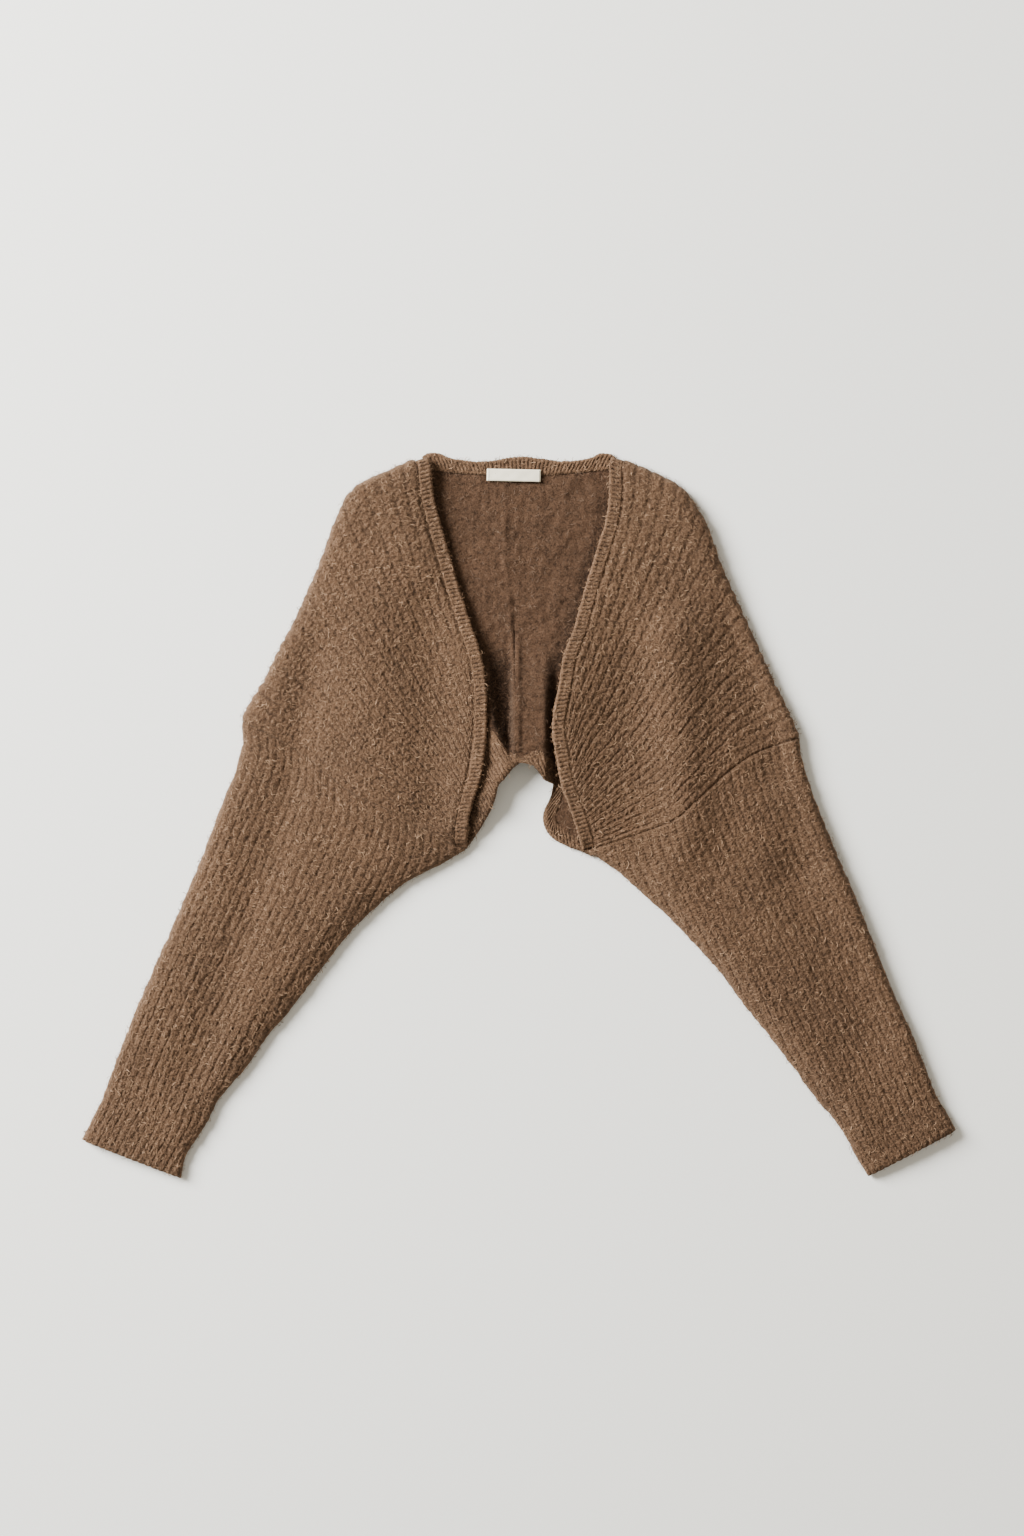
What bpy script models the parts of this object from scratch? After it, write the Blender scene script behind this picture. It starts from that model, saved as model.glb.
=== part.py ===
"""A knitted shrug, laid face up on a flat surface, at its real size.

The tables are in millimetres. +X is to the right and +Y towards the neck as one looks down on it,
+Z is up, and the origin is the middle of its outline, on the surface that it lies on. Left and
right are as seen from above. Each half is a front over a back, with a sleeve sewn to both along
one armhole seam, and one ribbed band runs round the neck, down both fronts and along the hem.
"""
from collections import namedtuple
import math

import bmesh
import bpy
from mathutils import Vector, geometry
import numpy as np

# Sizes of the cloth
MM = 0.001
WALL = 3.5
SEAM_GAP = 0.4
FRONT_GAP = 0.6
SLEEVE_GAP = 0.6
FOLD_GAP = 0.3
NECK_CLEARANCE = 3.0
LEFT, RIGHT = -1, 1

# Loft of the upper layer over the lower one, which closes at the folds
FOLD_LOFT = 8.0
FOLD_RADIUS = 18.0
FOLD_BULGE = 3.0
EDGE_THINNING = 0.35
EDGE_WIDTH = 4.0

# Ribs, which converge on a point below the underarm on each front
FRONT_RIBS = 24
RIB_HEIGHT = 1.4
FAN_CENTRE_X = 21.0
FAN_CENTRE_Y = -71.0
# Where the steepest rib of a front meets its band, and the band seam's shares at its ends
LAST_RIB_X, LAST_RIB_Y = 43.0, 119.0
SEAM_AT_NECK, SEAM_AT_UNDERARM = 0.004, 0.985
SEAM_POINTS = 40
SLEEVE_RIB_PITCH = (8.6, 6.7)
SLEEVE_PLAIN_EDGE = 2.0
# How fast the armhole's bow and its offset fade along a sleeve
BOW_FADE, OFFSET_FADE = 4, 8
BAND_RIB_PITCH = 5.2
BAND_RIB_HEIGHT = 0.7
BAND_WIDTH = 13.0
BAND_ROUNDING = 1.0
# The band's section, from its free edge to its seam: how far across and how much lower it is
Across = namedtuple("Across", "share drop")
BAND_SECTION = (Across(0.0, 1.0), Across(0.2, 0.2), Across(0.85, 0.2), Across(1.0, 0.6))
BACK_SEAM_X = -3.0
# The middle of the outline, which becomes the origin
ORIGIN_X, ORIGIN_Y = 1.0, -1.0

# How finely the walls are divided
FRONT_ROWS = (0.0, 0.07, 0.15, 0.24, 0.34, 0.44, 0.54, 0.64, 0.74, 0.84, 0.92, 0.97, 1.0)
SLEEVE_RINGS = 14
FOLD_ANGLES = (-60, -20, 20, 60)
BAND_PLAIN_STEP = 4
COARSE_EDGE = 16.0
# The back's points lie closer together round the pleat than on the rest of it
Grid = namedtuple("Grid", "step width low high")
PLEAT_GRID = Grid(5.0, 45.0, -30.0, 165.0)
BACK_GRID = Grid(26.0, 270.0, -40.0, 340.0)
GRID_CLEARANCE = 0.45
CORNER_CLEARANCE = 1.0
HEM_CLEARANCE = 3.0

# The folded outer edge from the neck point down to the cuff, at equal heights on both sides
Edge = namedtuple("Edge", "y left right")
OUTER_EDGE = (
    Edge(343, -77, 81), Edge(339, -93, 93), Edge(332, -112, 114), Edge(324, -130, 131),
    Edge(316, -145, 147), Edge(309, -155, 157), Edge(299, -162, 165), Edge(285, -170, 174),
    Edge(271, -177, 181), Edge(242, -187, 191), Edge(214, -199, 203), Edge(185, -212, 216),
    Edge(157, -227, 229), Edge(128, -241, 242), Edge(100, -258, 256), Edge(86, -262, 262),
    Edge(71, -261, 267), Edge(60, -263, 268), Edge(37, -270, 274), Edge(14, -279, 282),
    Edge(-14, -290, 293), Edge(-43, -301, 305), Edge(-95, -323, 327), Edge(-152, -348, 349),
    Edge(-209, -372, 374), Edge(-266, -393, 397), Edge(-288, -404, 410),
)
# The fold on the underarm side of the sleeve, from the hem to the cuff
UNDERARM_EDGE = (
    Edge(-43, -67, 80), Edge(-52, -84, 93), Edge(-67, -111, 110), Edge(-95, -143, 141),
    Edge(-124, -170, 169), Edge(-152, -191, 194), Edge(-181, -213, 215), Edge(-209, -237, 238),
    Edge(-238, -257, 260), Edge(-266, -281, 280), Edge(-295, -297, 305), Edge(-323, -315, 320),
)
# Points that each side has once
Landmarks = namedtuple("Landmarks", "cuff_outer cuff_inner underarm")
LANDMARKS = {
    LEFT: Landmarks(cuff_outer=(-413, -307), cuff_inner=(-319, -344), underarm=(-50, -33)),
    RIGHT: Landmarks(cuff_outer=(415, -298), cuff_inner=(332, -342), underarm=(66, -34)),
}
# The seam between body and sleeve, from the outer fold to the underarm
Point = namedtuple("Point", "x y")
ARMHOLE = {
    LEFT: (Point(-261, 89), Point(-217, 66), Point(-179, 38), Point(-156, 20),
           Point(-117, 2), Point(-75, -22), Point(-50, -33)),
    RIGHT: (Point(266, 73), Point(224, 58), Point(195, 38), Point(167, 13),
            Point(144, -6), Point(92, -25), Point(66, -34)),
}
# The free edge of the band on each front, from the neck to the underarm
FRONT_EDGE = {
    LEFT: (Point(-80, 339), Point(-82, 325), Point(-79, 300), Point(-71, 270), Point(-60, 231),
           Point(-46, 186), Point(-35, 153), Point(-30, 123), Point(-29, 97), Point(-30, 69),
           Point(-35, 35), Point(-42, 13), Point(-47, -9), Point(-48, -27)),
    RIGHT: (Point(83, 339), Point(86, 325), Point(86, 303), Point(82, 276), Point(75, 253),
            Point(63, 214), Point(52, 175), Point(43, 151), Point(38, 123), Point(33, 97),
            Point(32, 77), Point(36, 53), Point(40, 30), Point(46, 13), Point(52, -3),
            Point(58, -27)),
}
# The band at the back of the neck, left to right: its free edge and the seam under it
Strip = namedtuple("Strip", "edge_x edge_y seam_x seam_y")
NECK_BAND = (
    Strip(-82, 341, -78, 326), Strip(-60, 337, -58, 324), Strip(-45, 336, -44, 323),
    Strip(-27, 336, -26, 322), Strip(0, 340, 0, 322), Strip(25, 338, 25, 322),
    Strip(40, 336, 40, 323), Strip(58, 337, 56, 324), Strip(84, 341, 80, 326),
)
# The band along the hem, left to right: its free edge and the seam inside it
HEM_BAND = (
    Strip(-46, -28, -58, -22), Strip(-36, -13, -47, -6), Strip(-27, 2, -38, 8),
    Strip(-21, 17, -33, 21), Strip(-19, 27, -28, 34), Strip(-11, 34, -19, 44),
    Strip(-5, 43, -12, 57), Strip(5, 50, 3, 63), Strip(17, 50, 19, 63),
    Strip(23, 43, 32, 54), Strip(24, 34, 38, 46), Strip(36, 27, 48, 37),
    Strip(31, 16, 44, 21), Strip(25, 5, 37, 6), Strip(24, -6, 36, -4),
    Strip(29, -18, 40, -10), Strip(41, -27, 48, -17), Strip(58, -34, 60, -23),
)
# How far the front stands up along its free edge, by its height on the body
Lift = namedtuple("Lift", "y rise")
FRONT_LIFT = (
    Lift(343, 0), Lift(300, 1), Lift(250, 4), Lift(200, 9), Lift(150, 14), Lift(110, 17),
    Lift(70, 17), Lift(30, 12), Lift(0, 6), Lift(-27, 0),
)
FRONT_LIFT_REACH = 42.0
# Soft troughs and swells of the upper layer, each along a line
Fold = namedtuple("Fold", "x0 y0 x1 y1 rise reach")
UPPER_FOLDS = {
    LEFT: (Fold(-101, 157, -62, 20, -3.5, 16), Fold(-136, 150, -102, 10, 2.5, 17),
           Fold(-184, 170, -182, 30, 2.0, 20), Fold(-228, 96, -224, 8, -2.5, 13),
           Fold(-236, -50, -300, -220, 2.0, 20), Fold(-290, -60, -345, -230, -1.5, 16)),
    RIGHT: (Fold(100, 200, 106, 20, -3.0, 15), Fold(149, 225, 149, -5, 3.5, 19),
            Fold(203, 190, 207, 0, -3.0, 18), Fold(226, -60, 300, -200, 2.0, 20),
            Fold(266, -90, 310, -230, -2.0, 17)),
}
# The lower back stands up in two soft ridges either side of a deep pleat
Crest = namedtuple("Crest", "x y rise")
PLEAT_CREST = (Crest(-36, 132, 4), Crest(-32, 112, 12), Crest(-24, 84, 16), Crest(-8, 46, 17),
               Crest(-14, 34, 15), Crest(-22, 18, 12), Crest(-32, -4, 5), Crest(-42, -18, 1))
PLEAT_REACH = 8.5
HUMP_RISE = 16.0
HUMP_START_Y, HUMP_FULL_Y, HUMP_END_Y, HUMP_GONE_Y = 172.0, 92.0, 44.0, 12.0
HUMP_LEFT, HUMP_RIGHT, HUMP_SIDE = -5.0, 28.0, 7.0
# The centre back seam is a low double ridge inside
BACK_SEAM_HEIGHT = 1.0
BACK_SEAM_WIDTH = 3.0
# The woven label inside the neck
LABEL_CENTRE = Point(-4.0, 322.0)
LABEL_LENGTH, LABEL_DEPTH, LABEL_THICKNESS = 51.0, 11.5, 0.9
LABEL_TILT = math.radians(-1.2)
LABEL_POINTS = 7
LABEL_FOOT = WALL + BAND_RIB_HEIGHT + BAND_ROUNDING
# Colours
KNIT_COLOUR = (0.30, 0.19, 0.12)
LABEL_COLOUR = (0.76, 0.73, 0.66)


class Curve:
    """A smooth line through points on the flat, read by its share of the length."""

    DIVISIONS = 12
    STEP = 0.004
    FEWEST = 8

    def __init__(self, points, smooth=True):
        points = np.array([tuple(point) for point in points], float)
        if smooth:
            points = self.smoothed(points)
        self.points = points
        steps = np.linalg.norm(np.diff(points, axis=0), axis=1)
        self.length = float(steps.sum())
        self.shares = np.concatenate([[0.0], np.cumsum(steps)]) / self.length

    def smoothed(self, points):
        padded = np.vstack([2 * points[0] - points[1], points, 2 * points[-1] - points[-2]])
        dense = []
        for before, start, end, after in zip(padded, padded[1:], padded[2:], padded[3:]):
            for t in np.linspace(0, 1, self.DIVISIONS, endpoint=False):
                dense.append(0.5 * (2 * start + (end - before) * t
                                    + (2 * before - 5 * start + 4 * end - after) * t ** 2
                                    + (3 * start - before - 3 * end + after) * t ** 3))
        dense.append(points[-1])
        return np.array(dense)

    def at(self, share):
        return np.array([np.interp(share, self.shares, self.points[:, k]) for k in (0, 1)])

    def beside(self, share, distance):
        """The point at a share of the line, moved to the line's left."""
        ahead = self.at(min(share + self.STEP, 1.0)) - self.at(max(share - self.STEP, 0.0))
        ahead /= np.linalg.norm(ahead)
        return self.at(share) + distance * np.array([-ahead[1], ahead[0]])

    def run(self, count, start=0.0, end=1.0):
        return [self.at(share) for share in np.linspace(start, end, count)]

    def part(self, start, end):
        count = max(self.FEWEST, int(abs(end - start) * len(self.points)))
        return Curve(self.run(count, start, end), smooth=False)

    def offset(self, distance):
        """The line moved to its left by the distance, looking along it."""
        tangents = np.gradient(self.points, axis=0)
        tangents /= np.linalg.norm(tangents, axis=1)[:, None]
        normals = np.column_stack([-tangents[:, 1], tangents[:, 0]])
        return Curve(self.points + distance * normals, smooth=False)

    def nearest(self, x, y):
        """How far a point is from the line, and the share of the line nearest to it."""
        start, along = self.points[:-1], np.diff(self.points, axis=0)
        share = ((np.array([x, y]) - start) * along).sum(axis=1) / (along ** 2).sum(axis=1)
        share = np.clip(share, 0, 1)
        away = np.linalg.norm(start + share[:, None] * along - (x, y), axis=1)
        k = int(away.argmin())
        before, after = self.shares[k], self.shares[k + 1]
        return float(away[k]), float(before + share[k] * (after - before))

    def distance(self, x, y):
        return self.nearest(x, y)[0]

    def share_near(self, point):
        return self.nearest(point[0], point[1])[1]

    def share_at_x(self, x):
        order = np.argsort(self.points[:, 0])
        return float(np.interp(x, self.points[order, 0], self.shares[order]))


def edge_points(rows, side):
    return [(row.left if side == LEFT else row.right, row.y) for row in rows]


def smoothstep(low, high, value):
    t = min(max((value - low) / (high - low), 0.0), 1.0)
    return t * t * (3 - 2 * t)


OUTER = {side: Curve(edge_points(OUTER_EDGE, side) + [LANDMARKS[side].cuff_outer])
         for side in (LEFT, RIGHT)}
UNDERARM = {side: Curve([LANDMARKS[side].underarm] + edge_points(UNDERARM_EDGE, side)
                        + [LANDMARKS[side].cuff_inner])
            for side in (LEFT, RIGHT)}
EDGE = {side: Curve(FRONT_EDGE[side]) for side in (LEFT, RIGHT)}


def armhole_seam(side):
    """The armhole seam in straight pieces that end at the rows of the front."""
    smooth = Curve(ARMHOLE[side])
    band_end = EDGE[side].beside(1.0, side * (BAND_WIDTH + FRONT_GAP))
    low = smooth.share_near(band_end)
    shares = [low * (1 - row) for row in FRONT_ROWS[::-1]] + [1.0]
    return Curve([smooth.at(share) for share in shares], smooth=False)


SEAM = {side: armhole_seam(side) for side in (LEFT, RIGHT)}
SLEEVE_HEAD = {side: SEAM[side].offset(side * SLEEVE_GAP) for side in (LEFT, RIGHT)}
HEM_EDGE = Curve([(row.edge_x, row.edge_y) for row in HEM_BAND])
HEM_SEAM = Curve([(row.seam_x, row.seam_y) for row in HEM_BAND])
NECK_EDGE = Curve([(row.edge_x, row.edge_y) for row in NECK_BAND])
NECK_SEAM = Curve([(row.seam_x, row.seam_y) for row in NECK_BAND])


# Heights of the two layers
def line_distance(x, y, fold):
    along = (fold.x1 - fold.x0, fold.y1 - fold.y0)
    share = ((x - fold.x0) * along[0] + (y - fold.y0) * along[1]) / (along[0] ** 2 + along[1] ** 2)
    share = min(max(share, 0.0), 1.0)
    return math.hypot(x - fold.x0 - share * along[0], y - fold.y0 - share * along[1])


def loft(distance):
    """How far the upper layer stands off the lower one, this far in from a fold."""
    return FOLD_LOFT * math.sqrt(1 - (1 - min(distance, FOLD_RADIUS) / FOLD_RADIUS) ** 2)


def upper_foot(side, x, y):
    """Height of the underside of the front or of the sleeve's upper wall."""
    from_fold = min(OUTER[side].distance(x, y), UNDERARM[side].distance(x, y))
    rise = loft(from_fold)
    soft = min(from_fold / FOLD_RADIUS, 1.0)
    for fold in UPPER_FOLDS[side]:
        rise += soft * fold.rise * math.exp(-(line_distance(x, y, fold) / fold.reach) ** 2)
    levels = FRONT_LIFT[::-1]
    along_edge = np.interp(y, [row.y for row in levels], [row.rise for row in levels])
    from_edge = EDGE[side].distance(x, y)
    rise += along_edge * math.exp(-(from_edge / FRONT_LIFT_REACH) ** 2)
    return WALL + FOLD_GAP + rise


def upper_wall(side, x, y):
    """Thickness of the upper layer, which rounds off at the fold."""
    from_fold = min(OUTER[side].distance(x, y), EDGE_WIDTH)
    return WALL * (1 - EDGE_THINNING * (1 - from_fold / EDGE_WIDTH))


def back_foot(x, y):
    """Height of the underside of the back, flat but for the ridges beside the pleat."""
    ridge = 0.0
    for start, end in zip(PLEAT_CREST, PLEAT_CREST[1:]):
        along = (end.x - start.x, end.y - start.y)
        share = ((x - start.x) * along[0] + (y - start.y) * along[1]) / (along[0] ** 2 + along[1] ** 2)
        share = min(max(share, 0.0), 1.0)
        away = math.hypot(x - start.x - share * along[0], y - start.y - share * along[1])
        rise = start.rise + share * (end.rise - start.rise)
        ridge = max(ridge, rise * math.exp(-(away / PLEAT_REACH) ** 2))
    along_hump = (smoothstep(HUMP_START_Y, HUMP_FULL_Y, y)
                  * (1 - smoothstep(HUMP_END_Y, HUMP_GONE_Y, y)))
    across_hump = (smoothstep(HUMP_LEFT - HUMP_SIDE, HUMP_LEFT, x)
                   * (1 - smoothstep(HUMP_RIGHT, HUMP_RIGHT + HUMP_SIDE, x)))
    return max(ridge, HUMP_RISE * along_hump * across_hump)


def back_top(x, y):
    from_seam = abs(x - BACK_SEAM_X) / BACK_SEAM_WIDTH
    return back_foot(x, y) + WALL + BACK_SEAM_HEIGHT * math.exp(-from_seam ** 2)


# Mesh helpers
def material(name, colour, roughness):
    made = bpy.data.materials.new(name)
    made.use_nodes = True
    shader = made.node_tree.nodes["Principled BSDF"]
    shader.inputs["Base Color"].default_value = (*colour, 1)
    shader.inputs["Roughness"].default_value = roughness
    shader.inputs["Metallic"].default_value = 0.0
    return made


def finish(name, bm, colour):
    """Turns the faces out and makes the object, in metres."""
    bmesh.ops.recalc_face_normals(bm, faces=bm.faces)
    if bm.calc_volume(signed=True) < 0:
        bmesh.ops.reverse_faces(bm, faces=bm.faces)
    bmesh.ops.translate(bm, vec=Vector((-ORIGIN_X, -ORIGIN_Y, 0)), verts=bm.verts)
    bmesh.ops.scale(bm, vec=Vector((MM, MM, MM)), verts=bm.verts)
    mesh = bpy.data.meshes.new(name)
    bm.to_mesh(mesh)
    bm.free()
    mesh.shade_smooth()
    mesh.set_sharp_from_angle(angle=math.radians(50))
    made = bpy.data.objects.new(name, mesh)
    mesh.materials.append(material(name, colour, 0.9))
    bpy.context.scene.collection.objects.link(made)
    return made


def shares_of(run):
    steps = [(b.co - a.co).length for a, b in zip(run, run[1:])]
    total = sum(steps)
    shares = [0.0]
    for step in steps:
        shares.append(shares[-1] + step / total)
    return shares


def zip_runs(bm, first, second):
    """Fills the strip between two runs of vertices that start and end side by side."""
    first_shares, second_shares = shares_of(first), shares_of(second)
    i = j = 0
    while i < len(first) - 1 or j < len(second) - 1:
        second_done = j == len(second) - 1
        first_done = i == len(first) - 1
        if second_done or not first_done and first_shares[i + 1] <= second_shares[j + 1]:
            bm.faces.new((first[i], first[i + 1], second[j]))
            i += 1
        else:
            bm.faces.new((first[i], second[j + 1], second[j]))
            j += 1


def join_rows(bm, longer, shorter):
    """Quads between two rows, then a fan where the longer row has more points."""
    if len(longer) < len(shorter):
        longer, shorter = shorter, longer
    for k in range(len(shorter) - 1):
        bm.faces.new((longer[k], longer[k + 1], shorter[k + 1], shorter[k]))
    for k in range(len(shorter) - 1, len(longer) - 1):
        bm.faces.new((longer[k], longer[k + 1], shorter[-1]))


def wall_between(name, outer_rows, inner_rows, colour):
    """A closed wall from a finely divided outer side and a plainer inner side."""
    bm = bmesh.new()
    outer = [[bm.verts.new(point) for point in row] for row in outer_rows]
    inner = [[bm.verts.new(point) for point in row] for row in inner_rows]
    for rows in (outer, inner):
        for row, after in zip(rows, rows[1:]):
            join_rows(bm, row, after)
    zip_runs(bm, outer[0], inner[0])
    zip_runs(bm, outer[-1], inner[-1])
    zip_runs(bm, [row[0] for row in outer], [row[0] for row in inner])
    zip_runs(bm, [row[-1] for row in outer], [row[-1] for row in inner])
    return finish(name, bm, colour)


# The fronts
def band_seam(side):
    """The seam between a front and its band, from the neck to the underarm."""
    return EDGE[side].offset(side * BAND_WIDTH)


def fan_angle(side, point):
    """Direction of the rib through a point, from the point that the ribs converge on."""
    return math.atan2(point[1] - FAN_CENTRE_Y, side * point[0] + FAN_CENTRE_X)


def by_angle(side, curve, shares):
    """Points of a curve at even steps of the ribs' direction."""
    angles = [fan_angle(side, point) for point in curve.points]
    angles = np.maximum.accumulate(angles)
    wanted = angles[0] + np.array(shares) * (angles[-1] - angles[0])
    return [np.array([np.interp(a, angles, curve.points[:, k]) for k in (0, 1)]) for a in wanted]


def front_patch(side, columns):
    """Points of a front on the flat: rows from the band outwards, columns along the ribs."""
    clear = EDGE[side].offset(side * (BAND_WIDTH + FRONT_GAP))
    turn = clear.share_near((side * LAST_RIB_X, LAST_RIB_Y))
    armhole = SEAM[side].points[-2::-1]
    lower = Curve([armhole[0]] + clear.run(SEAM_POINTS, SEAM_AT_UNDERARM, turn), smooth=False)
    upper = clear.part(turn, SEAM_AT_NECK)
    outer = OUTER[side].part(OUTER[side].share_near(armhole[-1]),
                             OUTER[side].share_near(upper.at(1)))
    outer = Curve(np.vstack([armhole[-1], outer.points[1:-1], upper.at(1)]), smooth=False)
    low_line, high_line = by_angle(side, lower, columns), by_angle(side, outer, columns)
    corners = (low_line[0], low_line[-1], high_line[0], high_line[-1])
    patch = []
    for v, at_armhole in zip(FRONT_ROWS, armhole):
        at_band = upper.at(v)
        row = []
        for u, low, high in zip(columns, low_line, high_line):
            ruled = (1 - v) * low + v * high + (1 - u) * at_armhole + u * at_band
            common = ((1 - u) * (1 - v) * corners[0] + u * (1 - v) * corners[1]
                      + (1 - u) * v * corners[2] + u * v * corners[3])
            row.append(ruled - common)
        patch.append(row)
    return patch


def make_front(side, name):
    fine = [k / (2 * FRONT_RIBS) for k in range(2 * FRONT_RIBS + 1)]
    plain = [k / FRONT_RIBS for k in range(FRONT_RIBS + 1)]
    outer, inner = [], []
    for row in front_patch(side, fine):
        outer.append([(x, y, upper_foot(side, x, y) + upper_wall(side, x, y)
                       + RIB_HEIGHT * (k % 2)) for k, (x, y) in enumerate(row)])
    for row in front_patch(side, plain):
        inner.append([(x, y, upper_foot(side, x, y)) for x, y in row])
    return wall_between(name, outer, inner, KNIT_COLOUR)


# The backs
def inside(x, y, loop):
    crossings = 0
    for (x0, y0), (x1, y1) in zip(loop, loop[1:] + loop[:1]):
        if (y0 > y) != (y1 > y) and x < x0 + (y - y0) * (x1 - x0) / (y1 - y0):
            crossings += 1
    return crossings % 2 == 1


def band_rows(edge, pitch=BAND_RIB_PITCH):
    """Shares of a band's length at its valleys and crests, alternately."""
    ribs = round(edge.length / pitch)
    return [k / (2 * ribs) for k in range(2 * ribs + 1)]


def seam_side(curve, shares, side, gap):
    """Where a back panel meets a band: the band's own points, moved off by the gap."""
    middle = BACK_SEAM_X + side * SEAM_GAP / 2
    points = [curve.beside(share, gap) for share in shares]
    points = [point for point in points if side * (point[0] - middle) > CORNER_CLEARANCE]
    corner = curve.beside(curve.share_at_x(middle), gap)
    corner[0] = middle
    return [corner] + (points if side == RIGHT else points[::-1])


def back_outline(side):
    """The edge of a back half, from the centre of the neck out, down and back to the centre."""
    neck = seam_side(NECK_SEAM, band_rows(NECK_EDGE)[::2], side, -SEAM_GAP)
    hem = seam_side(HEM_SEAM, band_rows(HEM_EDGE), side, SEAM_GAP)
    band_end = NECK_EDGE.at(0.0 if side == LEFT else 1.0)
    outer_start = OUTER[side].share_near(band_end + (side * NECK_CLEARANCE, 0.0))
    outer_end = OUTER[side].share_near(SEAM[side].at(0))
    count = int(OUTER[side].length * outer_end / COARSE_EDGE)
    outer = OUTER[side].run(count, outer_start, outer_end)[:-1]
    nearest = abs(hem[-1][0]) + HEM_CLEARANCE
    armhole = [point for point in SEAM[side].points if abs(point[0]) > nearest]
    loop = neck + outer + armhole + hem[::-1]
    middle, top, bottom = loop[0][0], loop[0][1], loop[-1][1]
    steps = int((top - bottom) / COARSE_EDGE)
    loop += [np.array([middle, bottom + (top - bottom) * k / steps]) for k in range(1, steps)]
    return [tuple(point) for point in loop]


def make_back(side, name):
    loop = back_outline(side)
    edge = Curve(loop + loop[:1], smooth=False)
    inner = []
    for grid in (PLEAT_GRID, BACK_GRID):
        for y in np.arange(grid.low, grid.high, grid.step):
            for x in np.arange(grid.step / 2, grid.width, grid.step):
                x_here = BACK_SEAM_X + side * x
                near_pleat = x < PLEAT_GRID.width and y < PLEAT_GRID.high
                if grid == BACK_GRID and near_pleat or not inside(x_here, y, loop):
                    continue
                if edge.distance(x_here, y) > GRID_CLEARANCE * grid.step:
                    inner.append((x_here, y))
    flat = [Vector(point) for point in loop + inner]
    verts, _, faces = geometry.delaunay_2d_cdt(flat, [], [list(range(len(loop)))], 1, 1e-4)[:3]
    bm = bmesh.new()
    top = [bm.verts.new((v.x, v.y, back_top(v.x, v.y))) for v in verts]
    foot = [bm.verts.new((v.x, v.y, back_foot(v.x, v.y))) for v in verts]
    used = {}
    for face in faces:
        bm.faces.new([top[k] for k in face])
        bm.faces.new([foot[k] for k in reversed(face)])
        for a, b in zip(face, face[1:] + face[:1]):
            used[tuple(sorted((a, b)))] = used.get(tuple(sorted((a, b))), 0) + 1
    for (a, b), count in used.items():
        if count == 1:
            bm.faces.new((top[a], top[b], foot[b], foot[a]))
    return finish(name, bm, KNIT_COLOUR)


# The bands
def make_band(name, edge, seam, shares, foot_at, plain_step=BAND_PLAIN_STEP):
    """A flat band with ribs across it, between its free edge and its seam."""
    outer, inner = [], []
    for k, share in enumerate(shares):
        free, sewn = edge.at(share), seam.at(share)
        crest = BAND_RIB_HEIGHT * (k % 2)
        row = []
        for across in BAND_SECTION:
            x, y = free + across.share * (sewn - free)
            row.append((x, y, foot_at(x, y) + WALL + crest - across.drop * BAND_ROUNDING))
        outer.append(row)
        if k % plain_step == 0 or k == len(shares) - 1:
            ends = (free, 0.5 * (free + sewn), sewn)
            inner.append([(x, y, foot_at(x, y)) for x, y in ends])
    return wall_between(name, outer, inner, KNIT_COLOUR)


def make_front_band(side, name):
    shares = band_rows(EDGE[side])
    return make_band(name, EDGE[side], band_seam(side), shares,
                     lambda x, y: upper_foot(side, x, y))


# The sleeves
def sleeve_folds(side, along):
    """The outer and the underarm fold of a sleeve at a share of its length."""
    armhole_end = OUTER[side].share_near(SEAM[side].at(0))
    return OUTER[side].at(armhole_end + along * (1 - armhole_end)), UNDERARM[side].at(along)


def sleeve_point(side, along, reach):
    """A point on the flat, at shares of a sleeve's length and of its width from fold to fold."""
    outer, inner = sleeve_folds(side, along)
    seam = SLEEVE_HEAD[side]
    start, end = seam.at(0), seam.at(1)
    bowed = seam.at(reach) - (start + reach * (end - start))
    moved = start - sleeve_folds(side, 0)[0]
    bowed *= (1 - along) ** BOW_FADE
    moved *= (1 - along) ** OFFSET_FADE
    return outer + reach * (inner - outer) + bowed + moved


def sleeve_ring(side, along):
    """The outside of a sleeve's section, its ribbed top first, and the plain hollow in it."""
    outer, inner = sleeve_folds(side, along)
    width = float(np.linalg.norm(inner - outer))
    inward = (inner - outer) / width
    pitch = SLEEVE_RIB_PITCH[0] + along * (SLEEVE_RIB_PITCH[1] - SLEEVE_RIB_PITCH[0])
    ribs = int((width - 2 * FOLD_BULGE - SLEEVE_PLAIN_EDGE) / pitch)
    upper = []
    for k in range(2 * ribs + 1):
        x, y = sleeve_point(side, along, (FOLD_BULGE + k * pitch / 2) / width)
        upper.append((x, y, upper_foot(side, x, y) + WALL + RIB_HEIGHT * (k % 2)))
    edge = FOLD_BULGE / width
    head_steps = SEAM[side].shares[1:-2]
    even_steps = np.linspace(0, 1, len(head_steps) + 2)[1:-1]
    inner_steps = list((1 - along) * head_steps + along * even_steps)
    lower = [(*sleeve_point(side, along, reach), 0.0)
             for reach in [1 - edge] + inner_steps[::-1] + [edge]]
    margin = (FOLD_BULGE + WALL) / width
    across = [margin] + inner_steps + [1 - margin]
    flat = [sleeve_point(side, along, reach) for reach in across]
    hollow = [(x, y, upper_foot(side, x, y)) for x, y in flat]
    hollow += [(x, y, WALL) for x, y in flat[::-1]]
    far = sleeve_fold(side, along, 1 - edge, inward, [90] + [-angle for angle in FOLD_ANGLES])
    near = sleeve_fold(side, along, edge, -inward, FOLD_ANGLES)
    return upper, far + lower + near, hollow


def sleeve_fold(side, along, reach, outward, angles):
    """The rounded fold at one side of a sleeve's section."""
    x, y = sleeve_point(side, along, reach)
    half = (upper_foot(side, x, y) + WALL) / 2
    points = []
    for angle in angles:
        out = FOLD_BULGE * math.cos(math.radians(angle)) * outward
        points.append((x + out[0], y + out[1], half * (1 + math.sin(math.radians(angle)))))
    return points


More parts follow.
